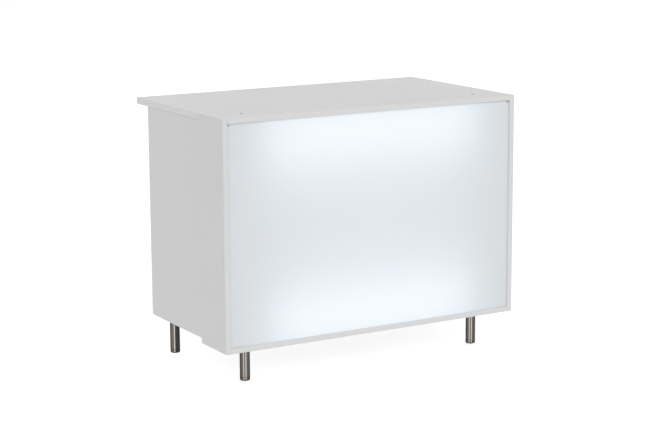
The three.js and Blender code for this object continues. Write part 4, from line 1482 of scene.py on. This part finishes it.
def lampholder(side):
    """An end block on the batten with a round-topped arm for the tube's pins."""
    way = SIDES[side]
    low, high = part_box(f"lower_lampholder_{side}")
    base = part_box("lower_lamp_batten")[0].z
    bottom = low.z - base
    top = high.z - base
    outer, plug_end = (high.x, low.x) if way > 0 else (low.x, high.x)
    near_x, far_x = sorted((outer, outer - way * HOLDER_THICKNESS))
    half = half_of(f"lower_lampholder_{side}").y
    block = add_block((near_x, -half, bottom), (far_x, half, bottom + BATTEN_HEIGHT - SEAT_GAP))
    arm_half = HOLDER_ARM / 2
    arm = add_block((near_x, -arm_half, bottom + BATTEN_HEIGHT / 2), (far_x, arm_half, top))
    round_edges(arm, arm_half - SEAT_GAP, segments=10, along="x", z=top)
    fuse(block, arm)
    plug_half = half - 2 * BATTEN_WALL
    plug_low, plug_high = sorted((plug_end, outer - way * HOLDER_THICKNESS / 2))
    plug_top = bottom + BATTEN_HEIGHT - 2 * BATTEN_WALL
    fuse(block, add_block((plug_low, -plug_half, bottom), (plug_high, plug_half, plug_top)))
    mouth = outer - way * (HOLDER_THICKNESS + CUT_MARGIN)
    hole_end = outer - way * (HOLDER_THICKNESS - TUBE_PIN_LENGTH - SEAT_GAP)
    radius = TUBE_PIN_RADIUS + SEAT_GAP
    for level in SIDES.values():
        height = top - arm_half + level * TUBE_PIN_SPACING / 2
        cut(block, rod(radius, mouth, hole_end, (0, 0, height), "x"))
    return block


class COUNTER_OT_lamps(bpy.types.Operator):
    """Make the two lamps in the light box: batten, tube and lampholders"""

    bl_idname = "counter.lamps"
    bl_label = "Lamps"

    def execute(self, context):
        channel = lamp_batten()
        glass = lamp_tube()
        caps = {side: lampholder(side) for side in SIDES}
        cap_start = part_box("lower_lamp_tube")[1].x - TUBE_PIN_LENGTH - CAP_LENGTH
        for lamp in LAMPS:
            place = lamp_place(lamp)
            node = f"{lamp}_lamp_batten"
            finish(copy_of(channel, place), f"{node}_channel", "batten_enamel", node=node)
            node = f"{lamp}_lamp_tube"
            tube = copy_of(glass, place)
            finish(tube, f"{node}_glass", "lamp_glass", "lamp_cap", node=node)
            paint(tube, lambda spot: abs(spot.x) > cap_start - SEAT_GAP)
            for side, cap in caps.items():
                node = f"{lamp}_lampholder_{side}"
                finish(copy_of(cap, place), f"{node}_cap", "moulded_white", node=node)
        discard(channel, glass, *caps.values())
        return {"FINISHED"}


# Power inlet


def inlet_middle():
    """The middle of the inlet's face."""
    middle = middle_of("power_inlet")
    middle.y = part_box("power_inlet")[1].y
    return middle


def rocker_pivot():
    return inlet_middle() + Vector((0, -ROCKER_PIVOT_DEPTH, ROCKER_RISE))


def inlet_housing():
    """A body behind a round-cornered lip, with a socket and a well for the rocker."""
    low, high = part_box("power_inlet")
    back = high.y - INLET_LIP_THICKNESS
    housing = add_block((low.x, back, low.z), high)
    round_edges(housing, INLET_LIP, segments=6, along="y")
    with editing(housing, "FACE"):
        pick_faces(housing, lambda place, normal: normal.y > FACING)
        bpy.ops.mesh.bevel(offset=INLET_EDGE, segments=3)
    lip = Vector((INLET_LIP, 0, INLET_LIP))
    fuse(housing, add_block(low + lip, Vector((high.x, back + SEAT_GAP, high.z)) - lip))
    socket_middle = inlet_middle() - Vector((0, 0, SOCKET_DROP))
    half = Vector((SOCKET_WIDTH / 2, 0, SOCKET_HEIGHT / 2))
    socket_low = socket_middle - half - Vector((0, SOCKET_DEPTH, 0))
    socket_high = socket_middle + half + Vector((0, CUT_MARGIN, 0))
    socket = add_block(socket_low, socket_high)
    round_edges(socket, SOCKET_CORNER, segments=1, along="y", z=socket_high.z)
    pivot = rocker_pivot()
    width = ROCKER_WIDTH / 2 + SEAT_GAP
    swing = ROCKER_LENGTH / 2 * math.cos(ROCKER_TILT)
    swing += (ROCKER_FACE + ROCKER_DISH) * math.sin(ROCKER_TILT) + SEAT_GAP
    well_low = pivot - Vector((width, ROCKER_BACK_RADIUS + SEAT_GAP, swing))
    well_high = pivot + Vector((width, ROCKER_PIVOT_DEPTH + CUT_MARGIN, swing))
    reach = width + TRUNNION_LENGTH
    bearing = rod(TRUNNION_RADIUS + SEAT_GAP, -reach, reach, pivot, "x")
    cut(housing, socket, add_block(well_low, well_high), bearing)
    return housing


def inlet_blades():
    """Three round-nosed blades on the socket's floor, the middle one set higher."""
    foot = inlet_middle() - Vector((0, SOCKET_DEPTH, SOCKET_DROP))
    blades = []
    for place in (-1, 0, 1):
        x = foot.x + place * BLADE_SPACING
        z = foot.z + (-BLADE_STAGGER if place else BLADE_STAGGER)
        low = (x - BLADE_THICKNESS / 2, foot.y - SEAT_GAP, z - BLADE_HEIGHT / 2)
        high = (x + BLADE_THICKNESS / 2, foot.y + BLADE_LENGTH, z + BLADE_HEIGHT / 2)
        blade = add_block(low, high)
        round_edges(blade, BLADE_THICKNESS / 3, y=high[1])
        blades.append(blade)
    return joined(*blades)


def rocker_body():
    """The rocker about its pivot: dished face towards +Y, round back, and trunnions."""
    half_width = ROCKER_WIDTH / 2
    half = ROCKER_LENGTH / 2
    rim = ROCKER_FACE + ROCKER_DISH
    body = add_block((-half_width, 0, -half), (half_width, rim, half))
    with editing(body, "VERT"):
        pick_vertices(body, y=0)
        narrow = ROCKER_BACK_RADIUS / half
        bpy.ops.transform.resize(value=(1, 1, narrow), center_override=(0, 0, 0))
    with editing(body, "FACE"):
        pick_faces(body, lambda place, normal: normal.y < -FACING)
        back = {"value": (0, -ROCKER_BACK_RADIUS, 0)}
        bpy.ops.mesh.extrude_region_move(TRANSFORM_OT_translate=back)
    round_edges(body, ROCKER_BACK_RADIUS - SEAT_GAP, segments=8, along="x", y=-ROCKER_BACK_RADIUS)
    with editing(body):
        pick_all()
        bpy.ops.mesh.bisect(plane_co=(0, 0, 0), plane_no=(0, 0, 1))
        pick_none()
        pick_edges(body, y=rim, z=0)
        bpy.ops.transform.translate(value=(0, -ROCKER_DISH, 0))
        bpy.ops.mesh.bevel(offset=half / 2, segments=8)
    reach = half_width + TRUNNION_LENGTH
    fuse(body, rod(TRUNNION_RADIUS, -reach, reach, axis="x"))
    return body


class COUNTER_OT_power_inlet(bpy.types.Operator):
    """Make the power inlet, its blades and the rocker switch"""

    bl_idname = "counter.power_inlet"
    bl_label = "Power inlet"

    def execute(self, context):
        finish(inlet_housing(), "power_inlet_housing", "moulded_black", node="power_inlet")
        finish(inlet_blades(), "power_inlet_blades", "blade_nickel")
        node = "rocker_switch"
        rocker = placed(rocker_body(), at(rocker_pivot()) @ spin(ROCKER_TILT, "X"))
        finish(rocker, "rocker_switch_body", "moulded_black", body=node, node=node)
        return {"FINISHED"}


# Lamp cables


def cable(node, *bends):
    """A cable along bends, each a point with the pull of the cable before and after it."""
    deselect()
    bpy.ops.curve.primitive_bezier_curve_add()
    line = bpy.context.object
    line.name = f"{node}_line"
    spline = line.data.splines[0]
    spline.bezier_points.add(len(bends) - len(spline.bezier_points))
    for point, (place, before, after) in zip(spline.bezier_points, bends):
        point.handle_left_type = "FREE"
        point.handle_right_type = "FREE"
        point.co = place
        point.handle_left = place + before
        point.handle_right = place + after
    spline.resolution_u = CABLE_STEPS
    line.data.bevel_depth = CABLE_RADIUS
    line.data.bevel_resolution = CABLE_ROUNDNESS
    line.data.use_fill_caps = True
    dress(line, "moulded_white")
    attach(line, FRAME_BODY)
    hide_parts(node)
    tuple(bends[0][0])


class COUNTER_OT_cables(bpy.types.Operator):
    """Make the cables from the inlet to the lamps, and dress their clip"""

    bl_idname = "counter.cables"
    bl_label = "Lamp cables"

    def execute(self, context):
        inlet = middle_of("power_inlet")
        inlet.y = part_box("power_inlet")[0].y - SEAT_GAP
        spread = Vector((CABLE_SPREAD, 0, 0))
        ends = {}
        for lamp, way in (("lower", 1), ("upper", -1)):
            node = f"{lamp}_lampholder_right"
            low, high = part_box(node)
            board = low.z if way > 0 else high.z
            ends[lamp] = axis_of(node, board + way * CABLE_ENTRY)
            ends[lamp].x = high.x + SEAT_GAP
        still = Vector((0, 0, 0))
        cable(
            "lower_lamp_cable",
            (inlet - spread, still, LEAVE_INLET),
            (ends["lower"], REACH_HOLDER, still),
        )
        wall_x = inlet.x + CABLE_SPREAD
        wall_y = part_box("cable_clip")[1].y - CLIP_SHEET - CABLE_RADIUS - SEAT_GAP
        low_bend, high_bend = (Vector((wall_x, wall_y, level)) for level in WALL_RUN)
        third = (high_bend - low_bend) / 3
        cable(
            "upper_lamp_cable",
            (inlet + spread, still, LEAVE_INLET),
            (low_bend, REACH_WALL, third),
            (high_bend, -third, LEAVE_WALL),
            (ends["upper"], REACH_HOLDER, still),
        )
        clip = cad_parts["cable_clip"]
        clip.data.materials.clear()
        dress(clip, "moulded_white")
        return {"FINISHED"}


# Stage


def studio_world(light):
    world = bpy.data.worlds.new("studio")
    world.use_nodes = True
    tree = world.node_tree
    shown = maths(tree, "MULTIPLY_ADD", seen_directly(tree), 1.0 - light, light)
    feed(tree, tree.nodes["Background"], {"Color": WHITE, "Strength": shown})
    return world


def soft_light(name, towards, strength):
    """A broad even light that shines from a direction."""
    bpy.ops.object.light_add(type="SUN", location=LIGHT_AWAY * towards)
    light = bpy.context.object
    light.name = name
    light.rotation_euler = towards.to_track_quat("Z", "Y").to_euler()
    light.data.angle = LIGHT_SPREAD
    light.data.energy = strength
    light.visible_glossy = False


def photo_camera(stage):
    """A camera at the photograph's place, turned by yaw, pitch and roll."""
    bpy.ops.object.camera_add(location=stage.place)
    camera = bpy.context.object
    camera.name = "photo_camera"
    level = spin(-stage.yaw, "Z") @ spin(math.pi / 2 - stage.pitch, "X")
    camera.rotation_euler = (level @ spin(-stage.roll, "Z")).to_euler()
    camera.data.sensor_width = SENSOR
    camera.data.lens = stage.lens
    camera.data.clip_end = 2 * FLOOR_SIZE
    return camera


class COUNTER_OT_stage(bpy.types.Operator):
    """Set up the floor, the light and the camera"""

    bl_idname = "counter.stage"
    bl_label = "Stage"

    def execute(self, context):
        stage = context.scene.counter_stage
        deselect()
        bpy.ops.mesh.primitive_plane_add(size=FLOOR_SIZE, location=(0, 0, -FOOT_TRAVEL))
        floor = context.object
        floor.name = "studio_floor"
        dress(floor, "pale_floor")
        soft_light("front_light", FRONT_LIGHT_FROM, stage.front_light)
        soft_light("rear_light", REAR_LIGHT_FROM, stage.rear_light)
        context.scene.world = studio_world(stage.room_light)
        context.scene.camera = photo_camera(stage)
        context.scene.view_settings.view_transform = "Standard"
        return {"FINISHED"}


class COUNTER_PT_panel(bpy.types.Panel):
    """The steps that make the counter"""

    bl_label = "Bar counter"
    bl_idname = "COUNTER_PT_panel"
    bl_space_type = "VIEW_3D"
    bl_region_type = "UI"
    bl_category = "Counter"

    def draw(self, context):
        for step in STEPS:
            self.layout.operator(step.bl_idname)


STEPS = (
    COUNTER_OT_stage,
    COUNTER_OT_cables,
    COUNTER_OT_light_box,
    COUNTER_OT_opal_front,
    COUNTER_OT_cabinet,
    COUNTER_OT_worktop,
    COUNTER_OT_shelves,
    COUNTER_OT_shelf_pins,
    COUNTER_OT_brackets,
    COUNTER_OT_tie_rods,
    COUNTER_OT_legs,
    COUNTER_OT_feet,
    COUNTER_OT_lamps,
    COUNTER_OT_power_inlet,
)
GROUPS = {
    "counter_sizes": CounterSizes,
    "counter_colours": CounterColours,
    "counter_stage": CounterStage,
}
CLASSES = (*GROUPS.values(), *STEPS, COUNTER_PT_panel)


def register():
    for kind in CLASSES:
        bpy.utils.register_class(kind)
    for name, kind in GROUPS.items():
        setattr(bpy.types.Scene, name, bpy.props.PointerProperty(type=kind))


def unregister():
    for name in GROUPS:
        delattr(bpy.types.Scene, name)
    for kind in reversed(CLASSES):
        bpy.utils.unregister_class(kind)


def main():
    register()
    for step in STEPS:
        group, name = step.bl_idname.split(".")
        getattr(getattr(bpy.ops, group), name)()


if __name__ == "__main__":
    main()
